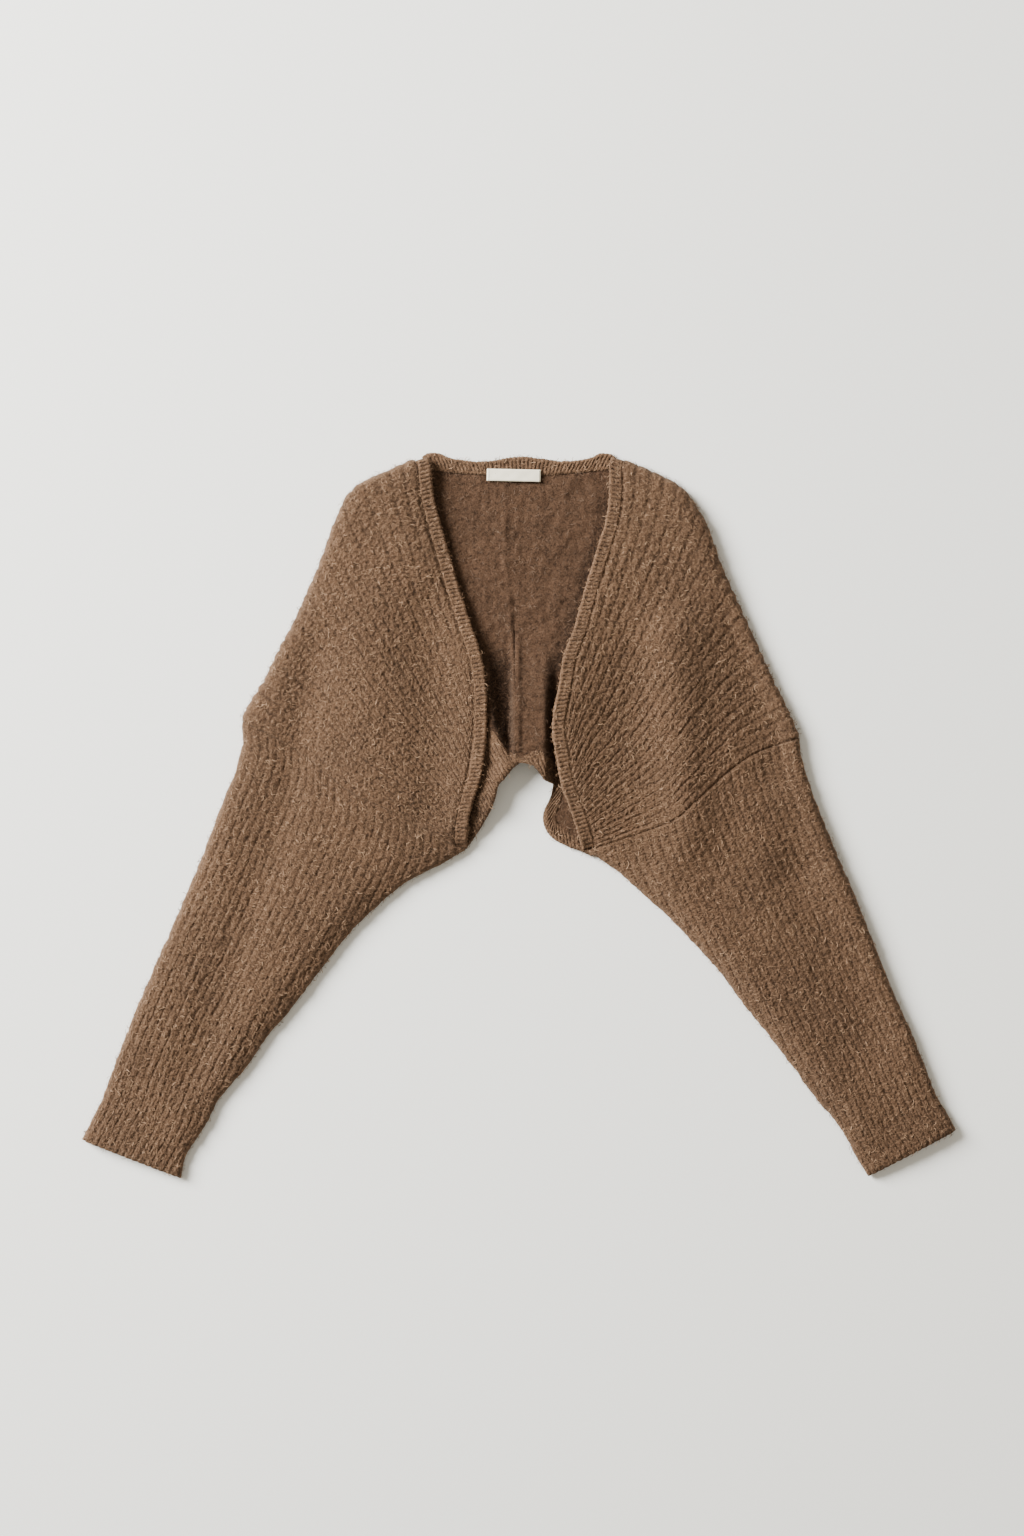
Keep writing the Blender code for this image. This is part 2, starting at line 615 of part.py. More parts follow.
def make_sleeve(side, name):
    bm = bmesh.new()
    rings = []
    for ring in range(SLEEVE_RINGS):
        parts = sleeve_ring(side, ring / (SLEEVE_RINGS - 1))
        rings.append([[bm.verts.new(point) for point in part] for part in parts])
    for (upper, rest, hollow), (next_upper, next_rest, next_hollow) in zip(rings, rings[1:]):
        join_rows(bm, upper, next_upper)
        join_rows(bm, [upper[-1]] + rest + [upper[0]],
                  [next_upper[-1]] + next_rest + [next_upper[0]])
        join_rows(bm, hollow + hollow[:1], next_hollow + next_hollow[:1])
    half = len(rings[0][2]) // 2
    corner = len(FOLD_ANGLES)
    for upper, rest, hollow in (rings[0], rings[-1]):
        zip_runs(bm, upper + rest[:2], hollow[:half])
        zip_runs(bm, rest[1:corner + 2], hollow[half - 1:half + 1])
        zip_runs(bm, rest[corner + 1:corner + 1 + half], hollow[half:])
        zip_runs(bm, rest[corner + half:] + upper[:1], hollow[-1:] + hollow[:1])
    return finish(name, bm, KNIT_COLOUR)


# The label
def make_label(name):
    across = np.array([math.cos(LABEL_TILT), math.sin(LABEL_TILT)])
    up = np.array([-across[1], across[0]])
    faces = []
    for lift in (LABEL_THICKNESS, 0.0):
        rows = []
        for v in (-0.5, 0.5):
            row = []
            for u in np.linspace(-0.5, 0.5, LABEL_POINTS):
                x, y = np.array(LABEL_CENTRE) + u * LABEL_LENGTH * across + v * LABEL_DEPTH * up
                row.append((x, y, LABEL_FOOT + lift))
            rows.append(row)
        faces.append(rows)
    return wall_between(name, faces[0], faces[1], LABEL_COLOUR)


def main():
    for old in list(bpy.data.objects):
        bpy.data.objects.remove(old, do_unlink=True)
    for side, word in ((LEFT, "left"), (RIGHT, "right")):
        make_back(side, "back_" + word)
        make_front(side, "front_" + word)
        make_sleeve(side, "sleeve_" + word)
        make_front_band(side, "band_front_" + word)
    make_band("band_neck", NECK_EDGE, NECK_SEAM, band_rows(NECK_EDGE), lambda x, y: 0.0)
    make_band("band_hem", HEM_EDGE, HEM_SEAM, band_rows(HEM_EDGE), back_foot, plain_step=1)
    make_label("label")


main()
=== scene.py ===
"""The knitted shrug as it looks: rib knit panels, sewn bands, a bare label and brushed nap.

The tables are in millimetres. They follow the lines of the part's own source, with the folds, the
neck's ends and the hem band a few millimetres nearer to the photo. Left and right are as seen from
above. Every panel is a closed wall of cloth whose upper side carries its ribs and
stitches, and whose knit coordinates count ribs across and rows of stitches along.
"""
from collections import namedtuple
import math

import bmesh
import bpy
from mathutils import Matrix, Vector, geometry, kdtree
import numpy as np


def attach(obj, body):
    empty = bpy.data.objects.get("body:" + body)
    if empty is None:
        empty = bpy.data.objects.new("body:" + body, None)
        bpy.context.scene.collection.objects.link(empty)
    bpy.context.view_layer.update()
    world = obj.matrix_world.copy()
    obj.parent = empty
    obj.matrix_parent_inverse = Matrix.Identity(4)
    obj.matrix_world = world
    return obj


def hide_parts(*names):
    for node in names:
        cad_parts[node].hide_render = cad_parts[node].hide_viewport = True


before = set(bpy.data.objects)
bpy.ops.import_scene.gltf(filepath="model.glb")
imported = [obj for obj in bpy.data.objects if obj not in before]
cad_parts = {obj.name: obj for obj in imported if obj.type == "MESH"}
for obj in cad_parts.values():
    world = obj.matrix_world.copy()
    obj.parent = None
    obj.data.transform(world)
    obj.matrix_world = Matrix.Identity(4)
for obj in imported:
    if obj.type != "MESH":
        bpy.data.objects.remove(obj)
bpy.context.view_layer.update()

MM = 0.001
LEFT, RIGHT = -1, 1
WORDS = {LEFT: "left", RIGHT: "right"}
ORIGIN = np.array([1.0, -1.0])

# The cloth
WALL = 3.5
FOLD_GAP = 0.3
SEAM_CLEAR = 0.1
FOLD_LOFT = 8.0
FOLD_RADIUS = 18.0
CUFF_LOFT_SHARE = 0.5
UNDERARM_LOFT = 5.0
UNDERARM_RADIUS = 34.0
# Painted highlight along a panel's folded outline: how much it lightens the colour, and its width in
# millimetres
PAINTED_RIM_HIGHLIGHT = 0.4
RIM_WIDTH = 3.0
TURN_RADIUS = 4.5
TURN_MIDDLE = 3.2
SEAM_DEPTH = 0.8
SEAM_WIDTH = 1.5
BAND_OVERLAP = 0.9
HEM_OVERLAP = 2.5
ROW_HEIGHT = 4.2

# The ribs
FRONT_RIBS = 24
RIB_HEIGHT = 0.7
STITCH_HEIGHT = 0.8
STITCH_JITTER = 0.3
FUZZ_HEIGHT = 0.55
FAN_CENTRE = (21.0, -71.0)
RIB_WANDER, ROW_WANDER = 0.12, 0.35
STITCHES_ACROSS, STITCHES_ALONG, STITCH_SLANT = 2.6, 1.2, 0.5
GROOVE_SHADE = 0.4
SEAM_SHADE = 0.35
SLEEVE_RIB_PITCH = (8.6, 6.7)
SLEEVE_FIRST_RIB = 3.0
SLEEVE_LENGTH_SHARE = 0.62
SLEEVE_HOLLOW_RIBS = 26
CUFF_ROLL = 1.6
BAND_RIB_PITCH = 3.9
BAND_RIB_HEIGHT = 1.0
BAND_WIDTH = 13.0
# Painted highlight along a band's free edge
PAINTED_BAND_EDGE_HIGHLIGHT = 0.25
TUCK_LENGTH = 9.0
BACK_RIB_PITCH = 7.5
BACK_SEAM_X = -3.0


def table(kind, *values):
    """A tuple of named rows."""
    return tuple(kind(*value) for value in values)


# The front's outer fold: its ribs stand out, and three rows wrap under it
SCALLOP_REACH = 9.0
Wrap = namedtuple("Wrap", "inward level")
FRONT_WRAPS = table(Wrap, (0.9, 1.3), (2.6, 0.35), (6.0, 0.05))

# How finely the panels are divided
FRONT_STEPS_A_RIB, FRONT_ROWS, FRONT_TURN_ROWS, FRONT_UNDER_ROWS = 11, 216, 9, 34
FRONT_TURN_SHARE, FRONT_UNDER_SHARE = 8.0 / 230.0, 6.0 / 230.0
SLEEVE_RINGS, SLEEVE_COLUMNS = 340, 188
HOLLOW_RINGS, HOLLOW_COLUMNS = 40, 22
BAND_STEP = 0.75
BACK_INSET, BACK_CENTRE_STEPS = 5.0, 120
# Where the painted shade beside the centre seam's ridges lies, and how wide it is
BACK_CREASE_AWAY, BACK_CREASE_WIDTH = 3.2, 1.3
SHARP_ANGLE = math.radians(70)

# The points of the back, close together at its middle and wider apart beyond
Grid = namedtuple("Grid", "step width low high beyond")
BACK_GRIDS = table(Grid, (2.2, 88.0, -35.0, 330.0, 0.0), (11.0, 262.0, -40.0, 340.0, 94.0))
# The two rolls that run along a band, by the share of its width
Roll = namedtuple("Roll", "rise at width")
BAND_ROLLS = table(Roll, (0.8, 0.13, 0.1), (0.6, 0.82, 0.09))

# The folded outer edge from the neck point down to the cuff, at equal heights on both sides
Edge = namedtuple("Edge", "y left right")
OUTER_EDGE = table(Edge, (343, -77, 81), (339, -93, 93), (332, -112, 114), (324, -130, 131),
                   (316, -148, 147), (309, -157, 157), (299, -165, 165), (285, -171, 174),
                   (271, -177, 181), (242, -187, 191), (214, -199, 203), (185, -212, 216),
                   (157, -227, 229), (128, -241, 242), (100, -258, 256), (86, -262, 262),
                   (71, -261, 267), (60, -263, 268), (37, -270, 274), (14, -279, 282), (-14, -290, 293),
                   (-43, -301, 305), (-95, -323, 327), (-152, -348, 349), (-209, -372, 374),
                   (-266, -393, 397), (-288, -404, 410))
# The fold on the underarm side of the sleeve, from the hem to the cuff
UNDERARM_EDGE = table(Edge, (-43, -67, 80), (-52, -84, 93), (-67, -111, 110), (-95, -143, 141),
                      (-124, -170, 169), (-152, -191, 194), (-181, -213, 215), (-209, -237, 238),
                      (-238, -257, 260), (-266, -281, 280), (-295, -297, 305), (-323, -315, 320))
Landmarks = namedtuple("Landmarks", "cuff_outer cuff_inner underarm")
LANDMARKS = {
    LEFT: Landmarks(cuff_outer=(-413, -307), cuff_inner=(-319, -344), underarm=(-50, -33)),
    RIGHT: Landmarks(cuff_outer=(415, -298), cuff_inner=(332, -342), underarm=(66, -34)),
}
# The seam between body and sleeve, from the outer fold to the underarm
Point = namedtuple("Point", "x y")
ARMHOLE = {
    LEFT: table(Point, (-261, 89), (-217, 66), (-179, 38), (-156, 20), (-117, 2), (-75, -22),
                (-50, -33)),
    RIGHT: table(Point, (266, 73), (224, 58), (195, 38), (167, 13), (144, -6), (92, -25), (66, -34)),
}
# The free edge of the band on each front, from the neck to the underarm
FRONT_EDGE = {
    LEFT: table(Point, (-85, 339), (-82.7, 332), (-82, 325), (-79, 300), (-71, 270), (-60, 231),
                (-46, 186), (-35, 153), (-30, 123), (-29, 97), (-30, 69), (-35, 35), (-42, 13),
                (-47, -9), (-48, -32)),
    RIGHT: table(Point, (88, 338.5), (86.3, 332), (86, 325), (86, 303), (82, 276), (75, 253), (63, 214),
                 (52, 175), (43, 151), (38, 123), (33, 97), (32, 77), (36, 53), (40, 30), (46, 13),
                 (52, -3), (61, -33)),
}
# The bands at the back of the neck and along the hem, left to right
Strip = namedtuple("Strip", "edge_x edge_y seam_x seam_y")
NECK_BAND = table(Strip, (-91, 339.5, -83, 326), (-85, 343.5, -78, 326), (-75, 343.5, -72, 325),
                  (-65, 339, -62, 324), (-45, 336, -44, 323), (-27, 336, -26, 322), (0, 340, 0, 322),
                  (25, 338, 25, 322), (40, 336, 40, 323), (58, 337, 56, 324), (70, 339.5, 67, 325),
                  (77, 343, 73, 325.5), (87, 343, 80, 326), (93, 339, 84, 326))
HEM_BAND = table(Strip, (-56, -36, -66, -28), (-46, -28, -58, -22), (-36, -13, -45, -2),
                 (-27, 2, -40, 18), (-21, 17, -36, 38), (-19, 27, -34, 62), (-13, 34, -25, 80),
                 (-8, 40, -14.5, 64), (-3, 46, -5.5, 51), (5, 50, 4, 57), (17, 50, 19, 61),
                 (23, 43, 32, 54), (24, 34, 38, 46), (36, 27, 48, 37), (31, 16, 44, 21), (25, 5, 37, 6),
                 (24, -6, 36, -4), (29, -18, 40, -10), (41, -27, 48, -17), (58, -34, 60, -23),
                 (70, -39, 72, -28))
# How far the front stands up along its free edge, by its height on the body
Lift = namedtuple("Lift", "y left right")
FRONT_LIFT = table(Lift, (343, 0, 0), (300, -3, 1), (250, -5, 3), (200, -4, 7), (150, 1, 11),
                   (110, 3, 13), (70, 3, 12), (30, 2, 8), (0, 1, 4), (-27, 0, 0))
FRONT_LIFT_REACH = {LEFT: 24.0, RIGHT: 48.0}
# Soft troughs and swells of the upper layer, each along a line
Fold = namedtuple("Fold", "x0 y0 x1 y1 rise reach")
UPPER_FOLDS = {
    LEFT: table(Fold, (-140, 190, -144, 30, 4.5, 38), (-84, 200, -78, 10, -3.0, 22),
                (-193, 150, -219, 14, -3.2, 17), (-229, -18, -305, -237, -3.4, 20),
                (-150, -66, -312, -296, 1.6, 22)),
    RIGHT: table(Fold, (146, 165, 159, -10, 8.5, 28), (214, 185, 248, 48, -7.0, 30),
                 (262, -8, 268, -45, -3.5, 24), (142, -66, 318, -292, 5.0, 26),
                 (268, -60, 335, -200, -5.0, 30)),
}
# The lower back stands up in two soft ridges either side of a deep pleat
Crest = namedtuple("Crest", "x y rise reach")
PLEAT_CREST = table(Crest, (-31, 140, 6, 7), (-28, 112, 10, 8), (-24, 86, 13, 12), (-14, 62, 15, 20),
                    (-6, 47, 16, 22), (-13, 34, 15, 24), (-22, 18, 12, 24), (-32, -4, 6, 18),
                    (-42, -18, 1, 10))
HUMP_RISE = 16.0
HUMP_START_Y, HUMP_FULL_Y, HUMP_END_Y, HUMP_GONE_Y = 172.0, 92.0, 44.0, 12.0
HUMP_LEFT, HUMP_RIGHT = -3.0, 24.0
HUMP_LEFT_SIDE, HUMP_RIGHT_SIDE = 6.0, 14.0
# The centre back seam shows inside as a soft double ridge that wanders a little
SEAM_RIDGES = (table(Point, (-12, 316), (-12, 243), (-7.5, 190), (-5, 140), (-4.5, 60)),
               table(Point, (0, 170), (0, 120), (0, 60)))
SEAM_RIDGE_HEIGHT = 2.0
SEAM_RIDGE_WIDTH = 2.0
# The mouth of the pleat, all round, inside which the back is painted dark as shade
PLEAT_MOUTH = table(Point, (-16, 170), (-6.5, 160), (-4, 140), (-3.5, 87), (0, 48), (-14, 50),
                    (-25, 70), (-29, 100), (-28, 152))
PLEAT_MOUTH_SOFT = 2.5
MOUTH_FULL_Y, MOUTH_END_Y = 138.0, 168.0
MOUTH_SIDE_REACH = 6.0
# Painted shade on the back where it goes in under the right front
TUCK_SHADE = 0.8
TUCK_WIDTH = 15.0
# How dark the hem band is painted, by its share of the length: a painted shadow at its left end, where it
# lies in the shade under the left front's band, and the darker inner side of the cloth from its middle to
# its right end
Shade = namedtuple("Shade", "share dark")
HEM_SHADE = table(Shade, (0.0, 0.85), (0.17, 0.85), (0.21, 0.5), (0.25, 0.12), (0.36, 0.12), (0.4, 0.4),
                  (1.0, 0.4))
# What a negative darkness, which is a painted highlight, turns the cloth's colour towards, by multiplying
# it
PAINTED_HIGHLIGHT_GAIN = (2.0, 2.0, 2.0, 1)
# The woven label inside the neck
LABEL_CENTRE = Point(-4.0, 322.0)
LABEL_LENGTH, LABEL_DEPTH, LABEL_THICKNESS = 51.0, 11.5, 0.9
LABEL_TILT = math.radians(-1.2)
LABEL_FOOT = 5.2


def unit(ways):
    return ways / np.linalg.norm(ways, axis=1)[:, None]


def rounded(points, divisions=12):
    """Points of a smooth line through the given ones."""
    padded = np.vstack([2 * points[0] - points[1], points, 2 * points[-1] - points[-2]])
    dense = []
    for before, start, end, after in zip(padded, padded[1:], padded[2:], padded[3:]):
        for t in np.linspace(0, 1, divisions, endpoint=False):
            dense.append(0.5 * (2 * start + (end - before) * t
                                + (2 * before - 5 * start + 4 * end - after) * t ** 2
                                + (3 * start - before - 3 * end + after) * t ** 3))
    return np.array(dense + [points[-1]])


class Line:
    """A line on the flat, in millimetres, read by its share of the length."""

    FINENESS = 0.5

    def __init__(self, points, smooth=True):
        points = np.array([tuple(point) for point in points], float)
        self.points = rounded(points) if smooth else points
        steps = np.linalg.norm(np.diff(self.points, axis=0), axis=1)
        self.length = float(steps.sum())
        self.shares = np.concatenate([[0.0], np.cumsum(steps)]) / self.length
        self.count = int(self.length / self.FINENESS) + 2
        self.tree = kdtree.KDTree(self.count)
        for k, (x, y) in enumerate(self.run(self.count)):
            self.tree.insert((x, y, 0), k)
        self.tree.balance()

    def at(self, shares):
        return np.stack([np.interp(shares, self.shares, self.points[:, k]) for k in (0, 1)], -1)

    def run(self, count, start=0.0, end=1.0):
        return self.at(np.linspace(start, end, count))

    def offset(self, distance):
        """The line moved to its left by the distance, looking along it."""
        ahead = unit(np.gradient(self.points, axis=0))
        beside = np.column_stack([-ahead[:, 1], ahead[:, 0]])
        return Line(self.points + distance * beside, smooth=False)

    def away(self, flat):
        """How far each point is from the line."""
        return np.array([self.tree.find((x, y, 0))[2] for x, y in flat])

    def share_near(self, point):
        return self.tree.find((point[0], point[1], 0))[1] / (self.count - 1)


def edge_points(rows, side):
    return [(row.left if side == LEFT else row.right, row.y) for row in rows]


def per_side(make):
    return {side: make(side) for side in (LEFT, RIGHT)}


OUTER = per_side(lambda side: Line(edge_points(OUTER_EDGE, side) + [LANDMARKS[side].cuff_outer]))
UNDERARM = per_side(lambda side: Line([LANDMARKS[side].underarm] + edge_points(UNDERARM_EDGE, side)
                                      + [LANDMARKS[side].cuff_inner]))
EDGE = per_side(lambda side: Line(FRONT_EDGE[side]))
BAND_SEAM = per_side(lambda side: EDGE[side].offset(side * BAND_WIDTH))
ARM_SEAM = per_side(lambda side: Line(ARMHOLE[side]))
HEM_EDGE = Line([(row.edge_x, row.edge_y) for row in HEM_BAND])
HEM_SEAM = Line([(row.seam_x, row.seam_y) for row in HEM_BAND])
NECK_EDGE = Line([(row.edge_x, row.edge_y) for row in NECK_BAND])
NECK_SEAM = Line([(row.seam_x, row.seam_y) for row in NECK_BAND])
RIDGE_LINES = [Line(points) for points in SEAM_RIDGES]
MOUTH_LINE = Line(PLEAT_MOUTH + PLEAT_MOUTH[:1], smooth=False)


# Unevenness and stitches
def uneven(flat, cell, seed):
    """Soft random unevenness from -1 to 1, in patches of this many millimetres."""
    lattice = np.random.default_rng(seed).uniform(-1, 1, (256, 256))
    place = flat / cell
    low = np.floor(place).astype(int)
    part = place - low
    part = part * part * (3 - 2 * part)
    x0, y0, x1, y1 = low[:, 0] % 256, low[:, 1] % 256, (low[:, 0] + 1) % 256, (low[:, 1] + 1) % 256
    near = lattice[x0, y0] * (1 - part[:, 0]) + lattice[x1, y0] * part[:, 0]
    far = lattice[x0, y1] * (1 - part[:, 0]) + lattice[x1, y1] * part[:, 0]
    return near * (1 - part[:, 1]) + far * part[:, 1]


def smoothstep(low, high, value):
    t = np.clip((value - low) / (high - low), 0, 1)
    return t * t * (3 - 2 * t)


def rise_and_fall(start, full, fade, gone, value):
    """From 0 up to 1 and down to 0 again."""
    return smoothstep(start, full, value) * (1 - smoothstep(fade, gone, value))


def rib_round(ribs):
    """A rib's height, from 0 in the groove to 1 on its crest."""
    return np.abs(np.sin(np.pi * ribs)) ** 0.7


def off_crest(ribs):
    """From 0 on a rib's crest to 1 in the groove."""
    return np.abs(2 * (ribs - np.floor(ribs)) - 1)


def stitch_grains(across, along, seed):
    """Rounded stitches on an uneven lattice, from 0 between them to 1 on their crests."""
    shifts = np.random.default_rng(seed).uniform(-STITCH_JITTER, STITCH_JITTER, (64, 64, 2))
    cell = np.floor(np.stack([across, along], -1)).astype(int)
    nearest = np.full(len(across), 9.0)
    for step in ((i, j) for i in (-1, 0, 1) for j in (-1, 0, 1)):
        spot = cell + step
        centre = spot + 0.5 + shifts[spot[:, 0] % 64, spot[:, 1] % 64]
        apart = (across - centre[:, 0]) ** 2 + (along - centre[:, 1]) ** 2
        nearest = np.minimum(nearest, apart)
    return np.exp(-nearest / 0.2)


def knit_relief(flat, ribs, rows, seed):
    """How far the brushed rib knit stands up, and how dark the gaps between stitches are painted, as shade
    in the gaps and along the rib grooves.
    """
    ribs = ribs + RIB_WANDER * uneven(flat, 6.5, seed)
    rows = rows + ROW_WANDER * uneven(flat, 7.0, seed + 2)
    leg = off_crest(ribs)
    run = smoothstep(0.8, 0.98, leg) * smoothstep(-0.15, 0.5, uneven(flat, 16.0, seed + 7))
    grain = stitch_grains(STITCHES_ACROSS * ribs, STITCHES_ALONG * rows + STITCH_SLANT * leg, seed + 5)
    crest = rib_round(ribs) * (0.8 + 0.3 * uneven(flat, 8.0, seed + 1))
    high = RIB_HEIGHT * crest + STITCH_HEIGHT * grain + FUZZ_HEIGHT * uneven(flat, 2.4, seed + 3)
    # Painted shade between the stitches, with broken runs of it along the rib grooves
    gap = smoothstep(0.3, 0.85, 1 - grain) * (0.6 + 0.4 * smoothstep(0.45, 1.0, leg))
    gap = gap * (0.75 + 0.5 * uneven(flat, 3.0, seed + 6)) + GROOVE_SHADE * run
    return high, np.clip(gap, 0, 1)


# Heights of the two layers
def soft_hump(away, width=SEAM_WIDTH):
    """From 1 on a line to 0 some widths away from it."""
    return np.exp(-(away / width) ** 2)


def beside(flat, start, end):
    """Each point's share of the way along a straight line, and how far it is from the line."""
    along = np.array(end) - np.array(start)
    share = np.clip(((flat - start) @ along) / (along @ along), 0, 1)
    return share, np.linalg.norm(flat - start - share[:, None] * along, axis=1)


def upper_foot(side, flat):
    """Height of the underside of the front or of the sleeve's upper wall."""
    from_outer, from_underarm = OUTER[side].away(flat), UNDERARM[side].away(flat)
    near = np.minimum(from_outer / FOLD_RADIUS, 1)
    low = np.minimum(from_underarm / UNDERARM_RADIUS, 1)
    inner_loft = (FOLD_LOFT - UNDERARM_LOFT) * smoothstep(0, 2 * UNDERARM_RADIUS, from_underarm)
    gentle = UNDERARM_LOFT * low * (2 - low) + inner_loft
    rise = np.minimum(FOLD_LOFT * np.sqrt(1 - (1 - near) ** 2), gentle)
    rise = rise * (CUFF_LOFT_SHARE + (1 - CUFF_LOFT_SHARE) * smoothstep(-310, -120, flat[:, 1]))
    near = np.minimum(near, from_underarm / FOLD_RADIUS)
    for fold in UPPER_FOLDS[side]:
        away = beside(flat, (fold.x0, fold.y0), (fold.x1, fold.y1))[1]
        rise += near * fold.rise * soft_hump(away, fold.reach)
    levels = FRONT_LIFT[::-1]
    lifts = [row.left if side == LEFT else row.right for row in levels]
    along_edge = np.interp(flat[:, 1], [row.y for row in levels], lifts)
    rise += along_edge * soft_hump(EDGE[side].away(flat), FRONT_LIFT_REACH[side])
    return WALL + FOLD_GAP + np.maximum(rise, 0)


def back_foot(flat):
    """Height of the underside of the back, flat but for the ridges beside the pleat."""
    ridge = np.zeros(len(flat))
    for start, end in zip(PLEAT_CREST, PLEAT_CREST[1:]):
        share, away = beside(flat, (start.x, start.y), (end.x, end.y))
        rise = start.rise + share * (end.rise - start.rise)
        reach = start.reach + share * (end.reach - start.reach)
        on_crest = start.x + share * (end.x - start.x)
        in_mouth = (flat[:, 0] > on_crest) & (start.y > HUMP_END_Y + 5)
        reach = np.where(in_mouth, np.minimum(reach, MOUTH_SIDE_REACH), reach)
        ridge = np.maximum(ridge, rise * soft_hump(away, reach))
    x, y = flat[:, 0], flat[:, 1]
    along_hump = rise_and_fall(HUMP_START_Y, HUMP_FULL_Y, HUMP_END_Y, HUMP_GONE_Y, y)
    across_hump = rise_and_fall(HUMP_LEFT - HUMP_LEFT_SIDE, HUMP_LEFT,
                                HUMP_RIGHT, HUMP_RIGHT + HUMP_RIGHT_SIDE, x)
    return np.maximum(ridge, HUMP_RISE * along_hump * across_hump)


def turn_under(from_fold):
    """How far the wall has turned up from its fold, from 0 at the outline to 1."""
    return np.sqrt(1 - (1 - np.clip(from_fold / TURN_RADIUS, 0, 1)) ** 2)


def knit_surface(side, line, ribs, rows, from_seam, from_fold, seed):
    """Height of a panel's outer points, and how dark their colour is: painted shade in their gaps, their
    seams' darkness, and a painted highlight along the outline.
    """
    relief, gap = knit_relief(line, ribs, rows, seed)
    seam = soft_hump(from_seam) * (0.7 + 0.5 * uneven(line, 26.0, 15 + side))
    high = upper_foot(side, line) + WALL + relief * (1 - 0.6 * seam) - SEAM_DEPTH * seam
    # A painted highlight that lightens the colour near the folded outline
    rim = PAINTED_RIM_HIGHLIGHT * (1 - smoothstep(0.0, RIM_WIDTH, from_fold))
    return high, np.maximum(SEAM_SHADE * seam, gap) - rim


# Making meshes
def grid_faces(rows, columns, first=0, closed=False):
    """The quads of a grid of points, closed round its columns if need be."""
    ids = first + np.arange(rows * columns).reshape(rows, columns)
    if closed:
        ids = np.hstack([ids, ids[:, :1]])
    quads = np.stack([ids[:-1, :-1], ids[:-1, 1:], ids[1:, 1:], ids[1:, :-1]], -1)
    return quads.reshape(-1, 4).tolist(), ids


def run_shares(points):
    steps = np.linalg.norm(np.diff(points, axis=0), axis=1)
    return np.concatenate([[0.0], np.cumsum(steps)]) / max(steps.sum(), 1e-9)


def zip_runs(points, first, second):
    """Triangles between two runs of points that start and end side by side."""
    one, two = run_shares(points[first]), run_shares(points[second])
    faces, i, j = [], 0, 0
    while i < len(first) - 1 or j < len(second) - 1:
        at_end = j == len(second) - 1
        if at_end or i < len(first) - 1 and one[i + 1] <= two[j + 1]:
            faces.append([int(first[i]), int(first[i + 1]), int(second[j])])
            i += 1
        else:
            faces.append([int(first[i]), int(second[j + 1]), int(second[j])])
            j += 1
    return faces


def link_object(name, data):
    made = bpy.data.objects.new(name, data)
    bpy.context.scene.collection.objects.link(made)
    return made


def make_piece(name, points, faces, knit, seam, finish):
    """A mesh in metres with its knit coordinates and its seam attribute: the seams' darkness, painted shade
    and, where negative, a painted highlight.
    """
    placed = (points - np.array([*ORIGIN, 0.0])) * MM
    mesh = bpy.data.meshes.new(name)
    mesh.from_pydata(placed.tolist(), [], faces)
    bm = bmesh.new()
    bm.from_mesh(mesh)
    bmesh.ops.recalc_face_normals(bm, faces=bm.faces)
    if bm.calc_volume(signed=True) < 0:
        bmesh.ops.reverse_faces(bm, faces=bm.faces)
    bm.to_mesh(mesh)
    bm.free()
    corners = np.empty(len(mesh.loops), dtype=np.int32)
    mesh.loops.foreach_get("vertex_index", corners)
    layer = mesh.uv_layers.new(name="knit")
    layer.data.foreach_set("uv", knit[corners].astype(np.float32).ravel())
    # The seam attribute carries painted shade and painted highlights as well as the seams' darkness
    mesh.attributes.new("seam", "FLOAT", "POINT").data.foreach_set("value", seam.astype(np.float32))
    mesh.shade_smooth()
    mesh.materials.append(finish)
    return link_object(name, mesh)


# A side's seam values carry painted shade and painted highlights as well as the seams' darkness
Side = namedtuple("Side", "points knit seam")


def make_wall(name, top, under, finish):
    """A closed panel from a fine upper side and a plainer underside, both grids of points."""
    count = top.points.shape[0] * top.points.shape[1]
    upper_faces, upper = grid_faces(*top.points.shape[:2])
    lower_faces, lower = grid_faces(*under.points.shape[:2], first=count)
    points = np.vstack([top.points.reshape(-1, 3), under.points.reshape(-1, 3)])
    faces = upper_faces + lower_faces
    for edge in (np.s_[0, :], np.s_[-1, :], np.s_[:, 0], np.s_[:, -1]):
        faces += zip_runs(points, upper[edge], lower[edge])
    knit = np.vstack([top.knit.reshape(-1, 2), under.knit.reshape(-1, 2)])
    seam = np.concatenate([top.seam.ravel(), under.seam.ravel()])
    return make_piece(name, points, faces, knit, seam, finish)


# The fronts
def fan_place(side, flat):
    """Where a point lies on the fan of ribs: its direction and its distance from the centre."""
    across, up = side * flat[..., 0] + FAN_CENTRE[0], flat[..., 1] - FAN_CENTRE[1]
    return np.arctan2(up, across), np.hypot(across, up)


def by_direction(side, points, shares):
    """Points of a line at even steps of the ribs' direction."""
    angles = np.maximum.accumulate(fan_place(side, points)[0])
    wanted = angles[0] + shares * (angles[-1] - angles[0])
    return np.stack([np.interp(wanted, angles, points[:, k]) for k in (0, 1)], -1)


